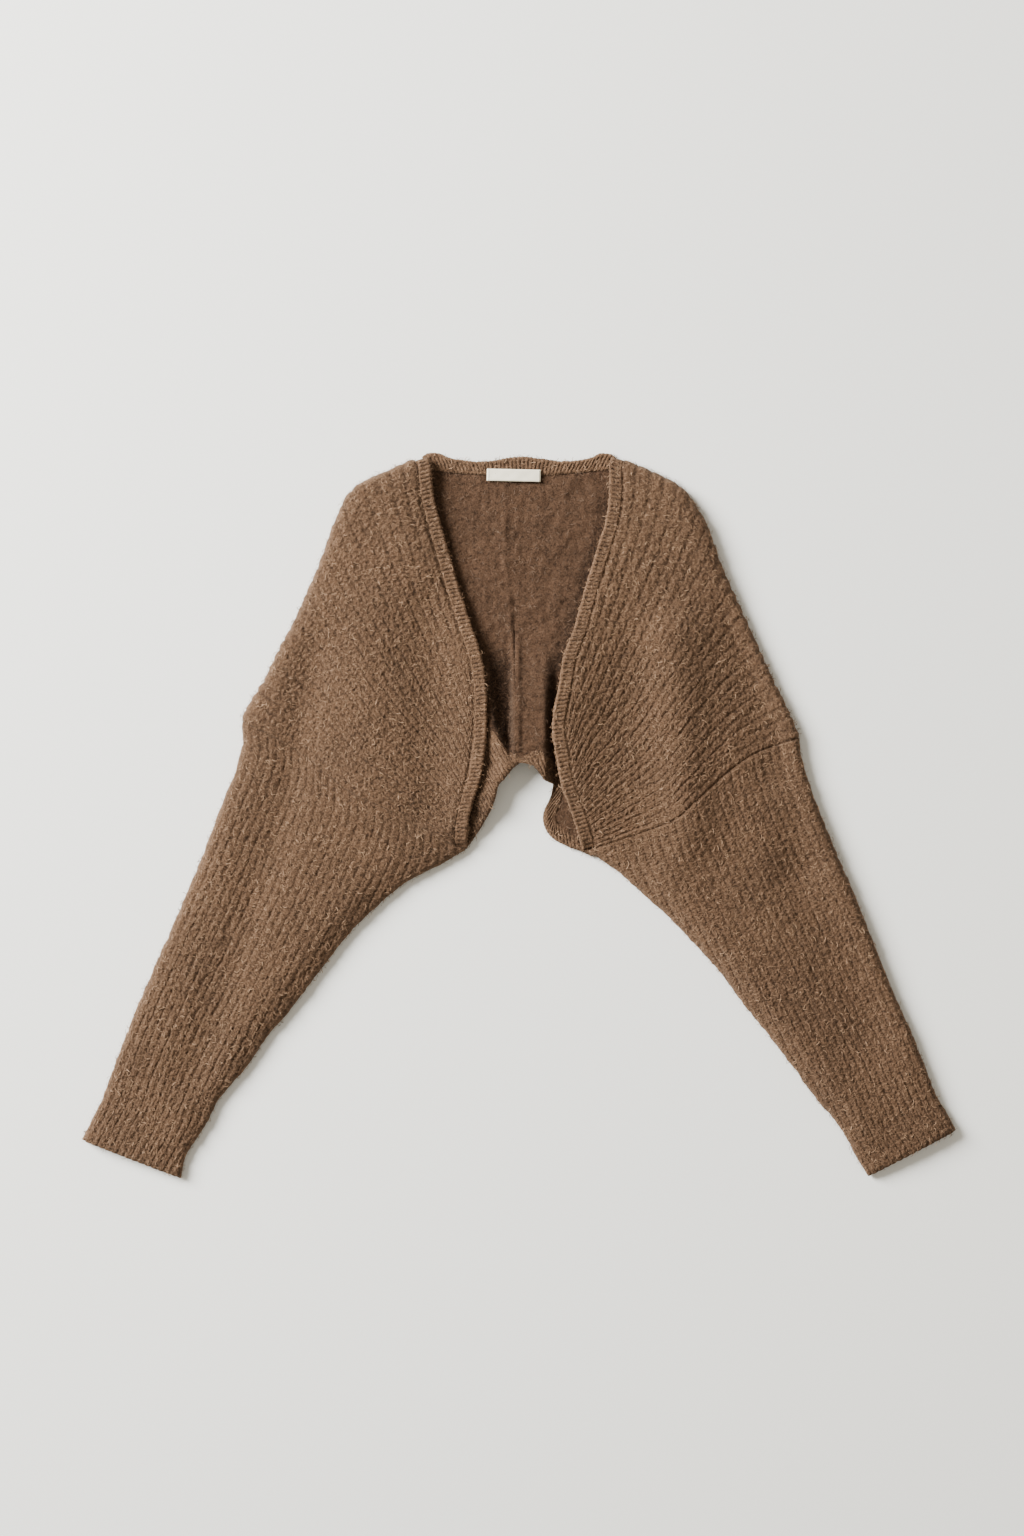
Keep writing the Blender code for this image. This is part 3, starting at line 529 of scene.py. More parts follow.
def front_patch(side, across, along):
    """The front on the flat: rows from the band outwards, columns along the ribs."""
    clear = EDGE[side].offset(side * (BAND_WIDTH - BAND_OVERLAP))
    turn = clear.share_near((side * 43.0, 119.0))
    low = ARM_SEAM[side].share_near(clear.at(1.0))
    at_armhole = ARM_SEAM[side].at(low * (1 - along))
    at_band = clear.at(turn * (1 - along) + 0.004 * along)
    lower = np.vstack([ARM_SEAM[side].at(low), clear.run(60, 0.985, turn)])
    outer = OUTER[side].run(300, OUTER[side].share_near(ARM_SEAM[side].at(0.0)),
                            OUTER[side].share_near(clear.at(0.004)))
    outer = np.vstack([ARM_SEAM[side].at(0.0), outer[1:-1], clear.at(0.004)])
    low_line, high_line = by_direction(side, lower, across), by_direction(side, outer, across)
    u, v = across[None, :, None], along[:, None, None]
    ruled = (1 - v) * low_line + v * high_line + (1 - u) * at_armhole[:, None] + u * at_band[:, None]
    common = ((1 - u) * (1 - v) * low_line[0] + u * (1 - v) * low_line[-1]
              + (1 - u) * v * high_line[0] + u * v * high_line[-1])
    return ruled - common


def make_front(side, finish):
    across = np.linspace(0, 1, FRONT_RIBS * FRONT_STEPS_A_RIB + 1)
    bend = np.sin(np.linspace(0, math.pi / 2, FRONT_TURN_ROWS))[1:]
    along = np.concatenate([np.linspace(0, 1 - FRONT_TURN_SHARE, FRONT_ROWS),
                            1 - FRONT_TURN_SHARE * (1 - bend)])
    flat = front_patch(side, across, along)
    rows, columns = flat.shape[:2]
    line = flat.reshape(-1, 2)
    ribs = np.tile(across * FRONT_RIBS, rows)
    stitch_rows = fan_place(side, line)[1] / ROW_HEIGHT
    from_fold = OUTER[side].away(line)
    from_seam = np.minimum(ARM_SEAM[side].away(line), BAND_SEAM[side].away(line))
    high, seam = knit_surface(side, line, ribs, stitch_rows, from_seam, from_fold, 11 + side)
    high = TURN_MIDDLE + (high - TURN_MIDDLE) * turn_under(from_fold)
    outward = unit(flat[-1] - flat[-14])
    scallop = np.clip(1 - from_fold / SCALLOP_REACH, 0, 1)
    scallop = scallop * (1.0 * (rib_round(ribs) - 0.6) + 0.6 * uneven(line, 3.5, 21))
    line = line + scallop[:, None] * np.tile(outward, (rows, 1))
    top = np.column_stack([line, high]).reshape(rows, columns, 3)
    wraps = []
    for wrap in FRONT_WRAPS:
        edge = top[-1].copy()
        edge[:, :2] -= wrap.inward * outward
        edge[:, 2] = wrap.level
        wraps.append(edge)
    top = np.concatenate([top, np.array(wraps)])
    knit = np.stack([ribs, stitch_rows], -1).reshape(rows, columns, 2)
    knit = np.concatenate([knit] + [knit[-1:] + (0.0, 0.5 * k) for k in (1, 2, 3)])
    # The rows that wrap under the fold carry the painted highlight as well
    seam = np.concatenate([seam.reshape(rows, columns), np.full((3, columns), -PAINTED_RIM_HIGHLIGHT)])
    few = np.linspace(0, 1, FRONT_RIBS * 2 + 1)
    plain = front_patch(side, few, np.linspace(0, 1 - FRONT_UNDER_SHARE, FRONT_UNDER_ROWS))
    plain_line = plain.reshape(-1, 2)
    foot = np.column_stack([plain_line, upper_foot(side, plain_line)]).reshape(*plain.shape[:2], 3)
    plain_knit = np.stack([np.tile(few * FRONT_RIBS, FRONT_UNDER_ROWS),
                           fan_place(side, plain_line)[1] / ROW_HEIGHT], -1)
    under = Side(foot, plain_knit.reshape(*plain.shape), np.zeros(plain.shape[:2]))
    return make_wall("knit_front_" + WORDS[side], Side(top, knit, seam), under, finish)


# The sleeves
def sleeve_flat(side, along, reach):
    """Points of a sleeve on the flat, at shares of its length and of its width."""
    start_share = OUTER[side].share_near(ARM_SEAM[side].at(0.0))
    outer = OUTER[side].at(start_share + along * (1 - start_share))[:, None]
    inner = UNDERARM[side].at(along)[:, None]
    head = ARM_SEAM[side].offset(side * SEAM_CLEAR)
    start, end = head.at(0.0), head.at(1.0)
    bowed = head.at(reach) - (start + reach[:, None] * (end - start))
    moved = start - OUTER[side].at(start_share)
    fade, quick_fade = (1 - along[:, None, None]) ** 4, (1 - along[:, None, None]) ** 8
    flat = outer + reach[None, :, None] * (inner - outer) + fade * bowed + quick_fade * moved
    return flat, np.linalg.norm(inner - outer, axis=2)


def sleeve_rows(side, along):
    return along * (OUTER[side].length * SLEEVE_LENGTH_SHARE) / ROW_HEIGHT


def sleeve_tube(side):
    """The outer surface, ring by ring from armhole to cuff: points, knit coordinates and seams."""
    along = np.linspace(0, 1, SLEEVE_RINGS)
    bend = 0.5 - 0.5 * np.cos(np.linspace(0, math.pi, SLEEVE_COLUMNS))
    reach = 0.25 * bend + 0.75 * np.linspace(0, 1, SLEEVE_COLUMNS)
    flat, width = sleeve_flat(side, along, reach)
    line = flat.reshape(-1, 2)
    pitch = SLEEVE_RIB_PITCH[0] + along * (SLEEVE_RIB_PITCH[1] - SLEEVE_RIB_PITCH[0])
    ribs = ((reach[None] * width - SLEEVE_FIRST_RIB) / pitch[:, None]).ravel()
    rows = sleeve_rows(side, along)
    ring_share = np.repeat(along, SLEEVE_COLUMNS)
    from_fold = np.minimum(OUTER[side].away(line), UNDERARM[side].away(line))
    high, seam = knit_surface(side, line, ribs, np.repeat(rows, SLEEVE_COLUMNS),
                              ARM_SEAM[side].away(line), from_fold, 31 + side)
    high = high - CUFF_ROLL * smoothstep(0.988, 1.0, ring_share)
    high = TURN_MIDDLE + (high - TURN_MIDDLE) * turn_under(from_fold)
    outward = np.repeat(unit(flat[:, -1] - flat[:, 0]), SLEEVE_COLUMNS, axis=0)
    outward = outward * np.sign(np.tile(reach, SLEEVE_RINGS) - 0.5)[:, None]
    scallop = np.clip(1 - from_fold / SCALLOP_REACH, 0, 1)
    scallop = scallop * (0.6 * uneven(line, 4.0, 41) + 0.4 * uneven(line, 9.0, 42))
    line = line + scallop[:, None] * outward
    ends = ring_share > 0.999
    line[ends] += (0.8 * (rib_round(ribs[ends]) - 0.5))[:, None] * np.array([side * 0.4, -0.9])
    top = np.column_stack([line, high]).reshape(SLEEVE_RINGS, SLEEVE_COLUMNS, 3)
    back_reach = reach[::-1][4:-4:4]
    below = sleeve_flat(side, along, back_reach)[0].reshape(-1, 2)
    from_edge = np.minimum(OUTER[side].away(below), UNDERARM[side].away(below))
    low = TURN_MIDDLE * (1 - turn_under(from_edge))
    bottom = np.column_stack([below, low]).reshape(SLEEVE_RINGS, len(back_reach), 3)
    below_ribs = (back_reach[None] * width - SLEEVE_FIRST_RIB) / pitch[:, None]
    ring_ribs = np.hstack([ribs.reshape(SLEEVE_RINGS, -1), below_ribs])
    knit = np.stack([ring_ribs, np.repeat(rows[:, None], ring_ribs.shape[1], 1)], -1)
    seams = np.hstack([seam.reshape(SLEEVE_RINGS, -1), np.zeros(below_ribs.shape)])
    return Side(np.concatenate([top, bottom], axis=1), knit, seams)


def sleeve_hollow(side):
    """The inner surface of the same tube."""
    along, reach = np.linspace(0, 1, HOLLOW_RINGS), np.linspace(0, 1, HOLLOW_COLUMNS)
    inner, width = sleeve_flat(side, along, reach)
    middle = inner.mean(axis=1, keepdims=True)
    line = (middle + (inner - middle) * (1 - 2 * (WALL + 3) / width[:, :, None])).reshape(-1, 2)
    grid = (HOLLOW_RINGS, HOLLOW_COLUMNS, 3)
    roof = np.column_stack([line, upper_foot(side, line)]).reshape(grid)
    floor = np.column_stack([line, np.full(len(line), WALL)]).reshape(grid)
    round_it = 2 * HOLLOW_COLUMNS
    ribs = np.broadcast_to(np.linspace(0, SLEEVE_HOLLOW_RIBS, round_it), (HOLLOW_RINGS, round_it))
    rows = np.repeat(sleeve_rows(side, along)[:, None], round_it, 1)
    knit = np.stack([ribs, rows], -1)
    return Side(np.concatenate([roof, floor[:, ::-1]], axis=1), knit, np.zeros(knit.shape[:2]))


def make_sleeve(side, finish):
    tube, hollow = sleeve_tube(side), sleeve_hollow(side)
    outer_faces, outer_ids = grid_faces(*tube.seam.shape, closed=True)
    inner_faces, inner_ids = grid_faces(*hollow.seam.shape, first=tube.seam.size, closed=True)
    points = np.vstack([tube.points.reshape(-1, 3), hollow.points.reshape(-1, 3)])
    faces = outer_faces + inner_faces
    for end in (0, -1):
        faces += zip_runs(points, outer_ids[end], inner_ids[end])
    knit = np.vstack([tube.knit.reshape(-1, 2), hollow.knit.reshape(-1, 2)])
    seam = np.concatenate([tube.seam.ravel(), hollow.seam.ravel()])
    return make_piece("knit_sleeve_" + WORDS[side], points, faces, knit, seam, finish)


# The bands
def band_section():
    """A band's upper section, from under its free edge, round it, to its seam: across and up."""
    radius = WALL / 2
    turn = np.radians(np.linspace(-80, 80, 7))
    across = np.concatenate([radius * (1 - np.cos(turn)), np.linspace(2.4, BAND_WIDTH - 0.05, 15)])
    up = np.concatenate([radius * (1 + np.sin(turn)), np.full(15, WALL)])
    return across / BAND_WIDTH, up


def make_band(name, edge, seam_line, foot_at, finish, seed, seam_depth=1.0, tuck=0.0, shades=()):
    """A ribbed band between its free edge and its seam, whose lower end may be tucked in."""
    steps = int(edge.length / BAND_STEP)
    shares = np.linspace(0, 1, steps)
    free, sewn = edge.at(shares), seam_line.at(shares)
    across, up = band_section()
    columns = len(across)
    flat = free[:, None] + across[None, :, None] * (sewn - free)[:, None]
    line = flat.reshape(-1, 2)
    count = round(edge.length / BAND_RIB_PITCH)
    ribs = np.repeat(shares * count, columns) + 0.15 * uneven(line, 8.0, seed)
    t = np.tile(across, steps)
    window = rise_and_fall(0.1, 0.28, 0.66, 0.84, t)
    rolls = sum(roll.rise * soft_hump(t - roll.at, roll.width) for roll in BAND_ROLLS)
    seam = soft_hump((1 - t) * BAND_WIDTH, 0.9)
    relief = rolls + BAND_RIB_HEIGHT * (0.3 + 0.7 * window) * rib_round(ribs)
    relief += 0.35 * uneven(line, 2.2, seed + 1) + 0.3 * uneven(line, 6.0, seed + 2)
    body = np.tile(up, steps) / WALL
    high = foot_at(line) + np.tile(up, steps) + relief * body - seam_depth * seam
    high -= tuck * np.repeat(smoothstep(1 - TUCK_LENGTH / edge.length, 1.0, shares), columns)
    # Painted shade in the grooves between the band's ribs, strongest across its middle
    painted_band_groove_shade = smoothstep(0.4, 0.9, off_crest(ribs)) * (0.3 + 0.8 * window)
    painted_band_groove_shade = painted_band_groove_shade * (0.8 + 0.4 * uneven(line, 3.0, seed + 4))
    seam = np.maximum(0.6 * seam_depth * seam, np.clip(painted_band_groove_shade, 0, 1))
    # A painted highlight along the band's free edge
    seam = seam - PAINTED_BAND_EDGE_HIGHLIGHT * (1 - smoothstep(0.0, 0.15, t))
    # The hem band's painted shadow at its left end, and the cloth's darker inner side
    if shades:
        shade = np.repeat(np.interp(shares, *zip(*shades)), columns)
        seam = np.maximum(seam, shade * (0.5 + 0.5 * smoothstep(0.0, 0.14, t)))
    wobble = 0.5 * (rib_round(ribs) - 0.6) + 0.4 * uneven(line, 5.0, seed + 3)
    wobble = (1 - smoothstep(0.0, 0.3, t)) * wobble
    line = line + wobble[:, None] * np.repeat(unit(free - sewn), columns, axis=0)
    top = Side(np.column_stack([line, high]).reshape(steps, columns, 3),
               np.stack([ribs, t * 3], -1).reshape(steps, columns, 2), seam.reshape(steps, columns))
    few = np.linspace(0, 1, max(steps // 6, 12))
    free, sewn = edge.at(few), seam_line.at(few)
    plain = np.array([across[0], 0.4, 0.7, across[-1]])
    low = (free[:, None] + plain[None, :, None] * (sewn - free)[:, None]).reshape(-1, 2)
    foot = np.column_stack([low, foot_at(low)]).reshape(len(few), 4, 3)
    foot[:, 0, 2] += up[0]
    under = Side(foot, np.stack([np.repeat(few * count, 4), np.tile(plain * 3, len(few))], -1),
                 np.zeros((len(few), 4)))
    return make_wall(name, top, under, finish)


# The backs
def inside(flat, loop):
    """Which points are inside a closed outline."""
    crossed = np.zeros(len(flat), int)
    for (x0, y0), (x1, y1) in zip(loop, np.roll(loop, -1, axis=0)):
        if y0 != y1:
            between = (y0 > flat[:, 1]) != (y1 > flat[:, 1])
            crossed += between & (flat[:, 0] < x0 + (flat[:, 1] - y0) * (x1 - x0) / (y1 - y0))
    return crossed % 2 == 1


def back_outline(side):
    """The edge of a back half, from the centre of the neck out, down and back to the centre."""
    def half(line, gap):
        points = line.offset(gap).run(160)
        return points[side * (points[:, 0] - BACK_SEAM_X) > 0.6][::side]
    neck, hem = half(NECK_SEAM, -0.1), half(HEM_SEAM, -HEM_OVERLAP)
    inset = OUTER[side].offset(-side * BACK_INSET)
    outer = inset.run(24, inset.share_near(neck[-1] + (side * 4.0, 6.0)),
                      inset.share_near(ARM_SEAM[side].at(0.0)) - 0.004)
    armhole = ARM_SEAM[side].run(26, 0.03, ARM_SEAM[side].share_near(hem[-1]) - 0.02)
    top = np.array([BACK_SEAM_X, neck[0][1]])
    bottom = np.array([BACK_SEAM_X, hem[0][1]])
    centre = [bottom + (top - bottom) * k / BACK_CENTRE_STEPS for k in range(BACK_CENTRE_STEPS)]
    return np.vstack([[top], neck, outer, armhole, hem[::-1], centre])


def back_sheet(side):
    """The points and triangles of a back half, on the flat."""
    loop = back_outline(side)
    border = Line(np.vstack([loop, loop[:1]]), smooth=False)
    spots = [loop]
    for grid in BACK_GRIDS:
        x, y = np.meshgrid(np.arange(grid.step / 2, grid.width, grid.step),
                           np.arange(grid.low, grid.high, grid.step))
        odd = np.where(np.arange(len(x)) % 2, 0.5 * grid.step, 0.0)
        x = BACK_SEAM_X + side * (x + odd[:, None])
        spot = np.column_stack([x.ravel(), y.ravel()])
        spot = spot[np.abs(spot[:, 0] - BACK_SEAM_X) > grid.beyond]
        spot = spot[inside(spot, loop)]
        spots.append(spot[border.away(spot) > 0.5 * grid.step])
    cut = geometry.delaunay_2d_cdt([Vector(p) for p in np.vstack(spots).tolist()], [],
                                   [list(range(len(loop)))], 1, 1e-4)
    return np.array([tuple(v) for v in cut[0]]), [list(face) for face in cut[2]]


def back_shade(line, seam, from_ridges):
    """How dark the back is painted: its seams' darkness, painted shade in the pleat's mouth and in the
    creases beside the centre seam's ridges, and painted shade where it goes under the right front.
    """
    y = line[:, 1]
    # Painted shade in the pleat's mouth
    hollow = smoothstep(0.0, PLEAT_MOUTH_SOFT, MOUTH_LINE.away(line)) * inside(line, np.array(PLEAT_MOUTH))
    hollow = hollow * (1 - smoothstep(MOUTH_FULL_Y, MOUTH_END_Y, y))
    # Painted shade in the creases beside the centre seam's ridges
    creases = [soft_hump(away - BACK_CREASE_AWAY, BACK_CREASE_WIDTH) for away in from_ridges]
    # Painted shade where the back goes in under the right front
    tuck = TUCK_SHADE * (1 - smoothstep(0.0, TUCK_WIDTH, EDGE[RIGHT].away(line)))
    tuck = tuck * (line[:, 0] > BACK_SEAM_X) * rise_and_fall(90.0, 150.0, 285.0, 325.0, y)
    return np.max([0.45 * seam, hollow, tuck, 0.12 * creases[0], 0.35 * creases[1]], axis=0)


def make_back(side, finish):
    line, faces = back_sheet(side)
    foot = back_foot(line)
    from_ridges = [ridge_line.away(line) for ridge_line in RIDGE_LINES]
    ridge = np.max([soft_hump(away, SEAM_RIDGE_WIDTH) for away in from_ridges], axis=0)
    ridge = ridge * np.interp(line[:, 1], (150, 200), (1.0, 0.5))
    seam = soft_hump(NECK_SEAM.away(line))
    ribs = (line[:, 0] - BACK_SEAM_X) / BACK_RIB_PITCH + 0.25 * uneven(line, 12.0, 51)
    rows = line[:, 1] / ROW_HEIGHT
    relief = 0.03 * rib_round(ribs) + 0.8 * uneven(line, 4.4, 52) + 0.5 * uneven(line, 9.0, 53)
    high = foot + WALL + relief + SEAM_RIDGE_HEIGHT * ridge - 0.6 * seam
    points = np.vstack([np.column_stack([line, high]), np.column_stack([line, foot])])
    count = len(line)
    used = {}
    for face in faces:
        for a, b in zip(face, face[1:] + face[:1]):
            key = (min(a, b), max(a, b))
            used[key] = None if key in used else (a, b)
    walls = [[a, b, b + count, a + count] for a, b in filter(None, used.values())]
    under = [[k + count for k in reversed(face)] for face in faces]
    knit = np.tile(np.column_stack([ribs, rows]), (2, 1))
    # The back's seams and painted shade go into the seam attribute
    mask = np.concatenate([back_shade(line, seam, from_ridges), np.zeros(count)])
    piece = make_piece("knit_back_" + WORDS[side], points, faces + under + walls, knit, mask, finish)
    piece.data.set_sharp_from_angle(angle=SHARP_ANGLE)
    return piece


# The label
LABEL_ACROSS = np.array([math.cos(LABEL_TILT), math.sin(LABEL_TILT)])
LABEL_UP = np.array([-LABEL_ACROSS[1], LABEL_ACROSS[0]])


def make_label(finish):
    u, v = np.meshgrid(np.linspace(-0.5, 0.5, 61), np.linspace(-0.5, 0.5, 15))
    flat = (np.array(LABEL_CENTRE) + (u * LABEL_LENGTH)[..., None] * LABEL_ACROSS
            + (v * LABEL_DEPTH)[..., None] * LABEL_UP)
    swell = 0.5 * np.cos(u * math.pi) + 0.15 * np.sin(u * 19) * np.cos(v * 5)
    rim = np.minimum((0.5 - np.abs(v)) * LABEL_DEPTH, (0.5 - np.abs(u)) * LABEL_LENGTH)
    crisp = np.minimum(rim / 0.6, 1) ** 0.5
    top = np.concatenate([flat, (LABEL_FOOT + swell + LABEL_THICKNESS * (0.5 + 0.5 * crisp))[..., None]], 2)
    foot = np.concatenate([flat, (LABEL_FOOT + swell)[..., None]], 2)
    knit = np.stack([u * LABEL_LENGTH, v * LABEL_DEPTH], -1)
    mask = smoothstep(0.47, 0.5, np.abs(u))
    return make_wall("woven_label", Side(top, knit, mask), Side(foot, knit, mask), finish)


# Shader helpers
def fill(tree, made, sockets):
    """A node whose sockets are set, or linked where the value is another node's output."""
    for key, value in sockets.items():
        if isinstance(value, bpy.types.NodeSocket):
            tree.links.new(value, made.inputs[key])
        else:
            made.inputs[key].default_value = value
    return made


def add(tree, kind, sockets=None, **settings):
    """A new node with its settings and sockets."""
    made = tree.nodes.new(kind)
    for key, value in settings.items():
        setattr(made, key, value)
    return fill(tree, made, sockets or {})


def calc(tree, operation, first, second=0.0, third=0.0):
    sockets = {0: first, 1: second, 2: third}
    return add(tree, "ShaderNodeMath", sockets, operation=operation).outputs[0]


def times(tree, first, second):
    return calc(tree, "MULTIPLY", first, second)


def own_place(tree):
    """Places in the object's own coordinates."""
    return add(tree, "ShaderNodeTexCoord").outputs["Object"]


def noise(tree, place, scale, **more):
    return add(tree, "ShaderNodeTexNoise", {"Vector": place, "Scale": scale, **more}).outputs


def wave(tree, place, scale, distortion, bands):
    sockets = {"Vector": place, "Scale": scale, "Distortion": distortion}
    return add(tree, "ShaderNodeTexWave", sockets, bands_direction=bands).outputs["Fac"]


def join(tree, x=0.0, y=0.0, z=0.0):
    """One vector from three numbers."""
    return add(tree, "ShaderNodeCombineXYZ", {"X": x, "Y": y, "Z": z}).outputs[0]


def split(tree, vector):
    return add(tree, "ShaderNodeSeparateXYZ", {0: vector}).outputs


def bump(tree, strength, distance, height):
    sockets = {"Strength": strength, "Distance": distance, "Height": height}
    return add(tree, "ShaderNodeBump", sockets).outputs[0]


def ramp(tree, value, low, high, start=0.0, end=1.0):
    sockets = {"Value": value, "From Min": low, "From Max": high, "To Min": start, "To Max": end}
    return add(tree, "ShaderNodeMapRange", sockets, interpolation_type="SMOOTHSTEP").outputs["Result"]


def blend(tree, share, first, second, mode="MIX"):
    sockets = {"Factor": share, 6: first, 7: second}
    return add(tree, "ShaderNodeMix", sockets, data_type="RGBA", blend_type=mode).outputs[2]


def make_group(name, inputs, outputs):
    """An empty shader group with named sockets, and its two ends."""
    tree = bpy.data.node_groups.new(name, "ShaderNodeTree")
    for label, kind, value in inputs:
        socket = tree.interface.new_socket(label, in_out="INPUT", socket_type=kind)
        socket.default_value = value
    for label, kind in outputs:
        tree.interface.new_socket(label, in_out="OUTPUT", socket_type=kind)
    return tree, tree.nodes.new("NodeGroupInput").outputs, tree.nodes.new("NodeGroupOutput").inputs


COLOUR, NUMBER, VECTOR = "NodeSocketColor", "NodeSocketFloat", "NodeSocketVector"


def heathered_yarn_group():
    """Brushed yarn spun from dark, middle and light fibres."""
    tree, given, result = make_group(
        "Heathered yarn",
        [("Dark fibre", COLOUR, (0.07, 0.04, 0.02, 1)), ("Main fibre", COLOUR, (0.3, 0.19, 0.12, 1)),
         ("Light fibre", COLOUR, (0.5, 0.38, 0.27, 1)), ("Fleck scale", NUMBER, 420.0),
         ("Dark share", NUMBER, 0.6), ("Light share", NUMBER, 0.5)],
        [("Color", COLOUR), ("Fibre height", NUMBER)])
    place = own_place(tree)
    fleck = noise(tree, place, given["Fleck scale"], Detail=3.0, Roughness=0.6, Distortion=1.2)["Fac"]
    fine = times(tree, given["Fleck scale"], 2.3)
    fibre = noise(tree, place, fine, Detail=2.0, Roughness=0.5, Distortion=2.5)["Fac"]
    patch = noise(tree, place, 16.0, Detail=2.0)["Fac"]
    curl = noise(tree, place, 300.0, Detail=1.0, Distortion=1.4)["Fac"]
    strand = ramp(tree, calc(tree, "ABSOLUTE", calc(tree, "SUBTRACT", curl, 0.5)), 0.045, 0.0)
    mixed = calc(tree, "MULTIPLY_ADD", fleck, 0.6, times(tree, fibre, 0.4))
    dark = times(tree, ramp(tree, mixed, 0.5, 0.41), given["Dark share"])
    light = calc(tree, "MAXIMUM", ramp(tree, mixed, 0.53, 0.63), times(tree, strand, 0.8))
    light = times(tree, light, given["Light share"])
    colour = blend(tree, dark, given["Main fibre"], given["Dark fibre"])
    colour = blend(tree, light, colour, given["Light fibre"])
    shade = ramp(tree, patch, 0.3, 0.7, 0.9, 1.08)
    grey = add(tree, "ShaderNodeCombineColor", {0: shade, 1: shade, 2: shade}).outputs[0]
    colour = blend(tree, 1.0, colour, grey, "MULTIPLY")
    tree.links.new(colour, result["Color"])
    tree.links.new(mixed, result["Fibre height"])
    return tree


def rib_stitch_group():
    """Ribs of slanted stitches, from knit coordinates that count ribs and rows."""
    tree, given, result = make_group(
        "Rib stitches",
        [("Knit", VECTOR, (0, 0, 0)), ("Wander", NUMBER, 0.3), ("Groove width", NUMBER, 0.35)],
        [("Height", NUMBER), ("Groove", NUMBER)])
    drift = noise(tree, own_place(tree), 190.0, Detail=2.0)["Color"]
    parts = add(tree, "ShaderNodeSeparateColor", {0: drift}).outputs
    knit = split(tree, given["Knit"])
    ribs = calc(tree, "MULTIPLY_ADD", calc(tree, "SUBTRACT", parts[0], 0.5), given["Wander"], knit[0])
    rows = calc(tree, "MULTIPLY_ADD", calc(tree, "SUBTRACT", parts[1], 0.5), 1.2, knit[1])
    leg = calc(tree, "ABSOLUTE", calc(tree, "MULTIPLY_ADD", calc(tree, "FRACT", ribs), 2.0, -1.0))
    groove = ramp(tree, leg, calc(tree, "SUBTRACT", 1.0, given["Groove width"]), 1.0)
    turn = times(tree, calc(tree, "MULTIPLY_ADD", leg, 0.5, rows), 2 * math.pi)
    loop = calc(tree, "MULTIPLY_ADD", calc(tree, "COSINE", turn), 0.5, 0.5)
    crest = calc(tree, "SUBTRACT", 1.0, groove)
    height = calc(tree, "MULTIPLY_ADD", crest, 0.5, times(tree, loop, 0.5))
    tree.links.new(height, result["Height"])
    # The groove mask, which the knit material uses for painted shade
    tree.links.new(times(tree, groove, ramp(tree, loop, 0.9, 0.2, 0.4, 1.0)), result["Groove"])
    return tree


HEATHER = heathered_yarn_group()
STITCHES = rib_stitch_group()


def use_group(tree, group, **values):
    made = add(tree, "ShaderNodeGroup", node_tree=group)
    return fill(tree, made, {key.replace("_", " "): value for key, value in values.items()}).outputs


def new_material(name):
    """A material with its tree and its shader."""
    made = bpy.data.materials.new(name)
    made.use_nodes = True
    return made, made.node_tree, made.node_tree.nodes["Principled BSDF"]


YARN = {"Fleck_scale": 410.0, "Dark_share": 0.8, "Light_share": 0.6}
Tones = namedtuple("Tones", "main dark light")
Shading = namedtuple("Shading", "groove_share groove_width seam_share bump sheen rib_bump")


def knit_material(name, tones, shading):
    """Heathered rib knit, with painted shade in its grooves, and the seam attribute's darkness: its seams,
    painted shade and painted highlights.
    """
    made, tree, shader = new_material(name)
    yarn = use_group(tree, HEATHER, Main_fibre=tones.main, Dark_fibre=tones.dark,
                     Light_fibre=tones.light, **YARN)
    knit = add(tree, "ShaderNodeUVMap", uv_map="knit").outputs[0]
    rib = use_group(tree, STITCHES, Knit=knit, Groove_width=shading.groove_width)
    seam = add(tree, "ShaderNodeAttribute", attribute_name="seam").outputs["Fac"]
    # Painted shade in the rib grooves, towards the dark fibre colour
    colour = blend(tree, times(tree, rib["Groove"], shading.groove_share), yarn["Color"], tones.dark)
    broken = ramp(tree, yarn["Fibre height"], 0.58, 0.44, 0.3, 1.0)
    # The seam attribute darkens the colour: the seams' own darkness and painted shade
    shown = times(tree, calc(tree, "MAXIMUM", seam, 0.0), shading.seam_share)
    colour = blend(tree, times(tree, shown, broken), colour, tones.dark)
    # A negative value of the seam attribute is a painted highlight that lightens the colour
    painted_highlight = calc(tree, "MAXIMUM", times(tree, seam, -1.0), 0.0)
    colour = blend(tree, painted_highlight, colour, PAINTED_HIGHLIGHT_GAIN, "MULTIPLY")
    height = calc(tree, "MULTIPLY_ADD", rib["Height"], shading.rib_bump,
                  times(tree, yarn["Fibre height"], 1.6))
    fill(tree, shader, {"Base Color": colour, "Normal": bump(tree, shading.bump, 0.0012, height),
                        "Roughness": 0.95, "Specular IOR Level": 0.15,
                        "Sheen Weight": shading.sheen, "Sheen Roughness": 0.6,
                        "Sheen Tint": (0.5, 0.35, 0.24, 1)})
    return made


def label_material():
    """Plain off-white tape, woven finely."""
    made, tree, shader = new_material("woven_tape")
    place = own_place(tree)
    warp, weft = wave(tree, place, 620.0, 0.4, "X"), wave(tree, place, 560.0, 0.4, "Y")
    weave = calc(tree, "MULTIPLY_ADD", warp, 0.5, times(tree, weft, 0.5))
    cloud = noise(tree, place, 90.0)["Fac"]
    shade = calc(tree, "MULTIPLY_ADD", weave, 0.4, times(tree, cloud, 0.6))
    colour = blend(tree, shade, (0.7, 0.635, 0.49, 1), (0.94, 0.87, 0.69, 1))
    fill(tree, shader, {"Base Color": colour, "Normal": bump(tree, 0.4, 0.0002, weave),
                        "Roughness": 0.7, "Sheen Weight": 0.1})
    return made


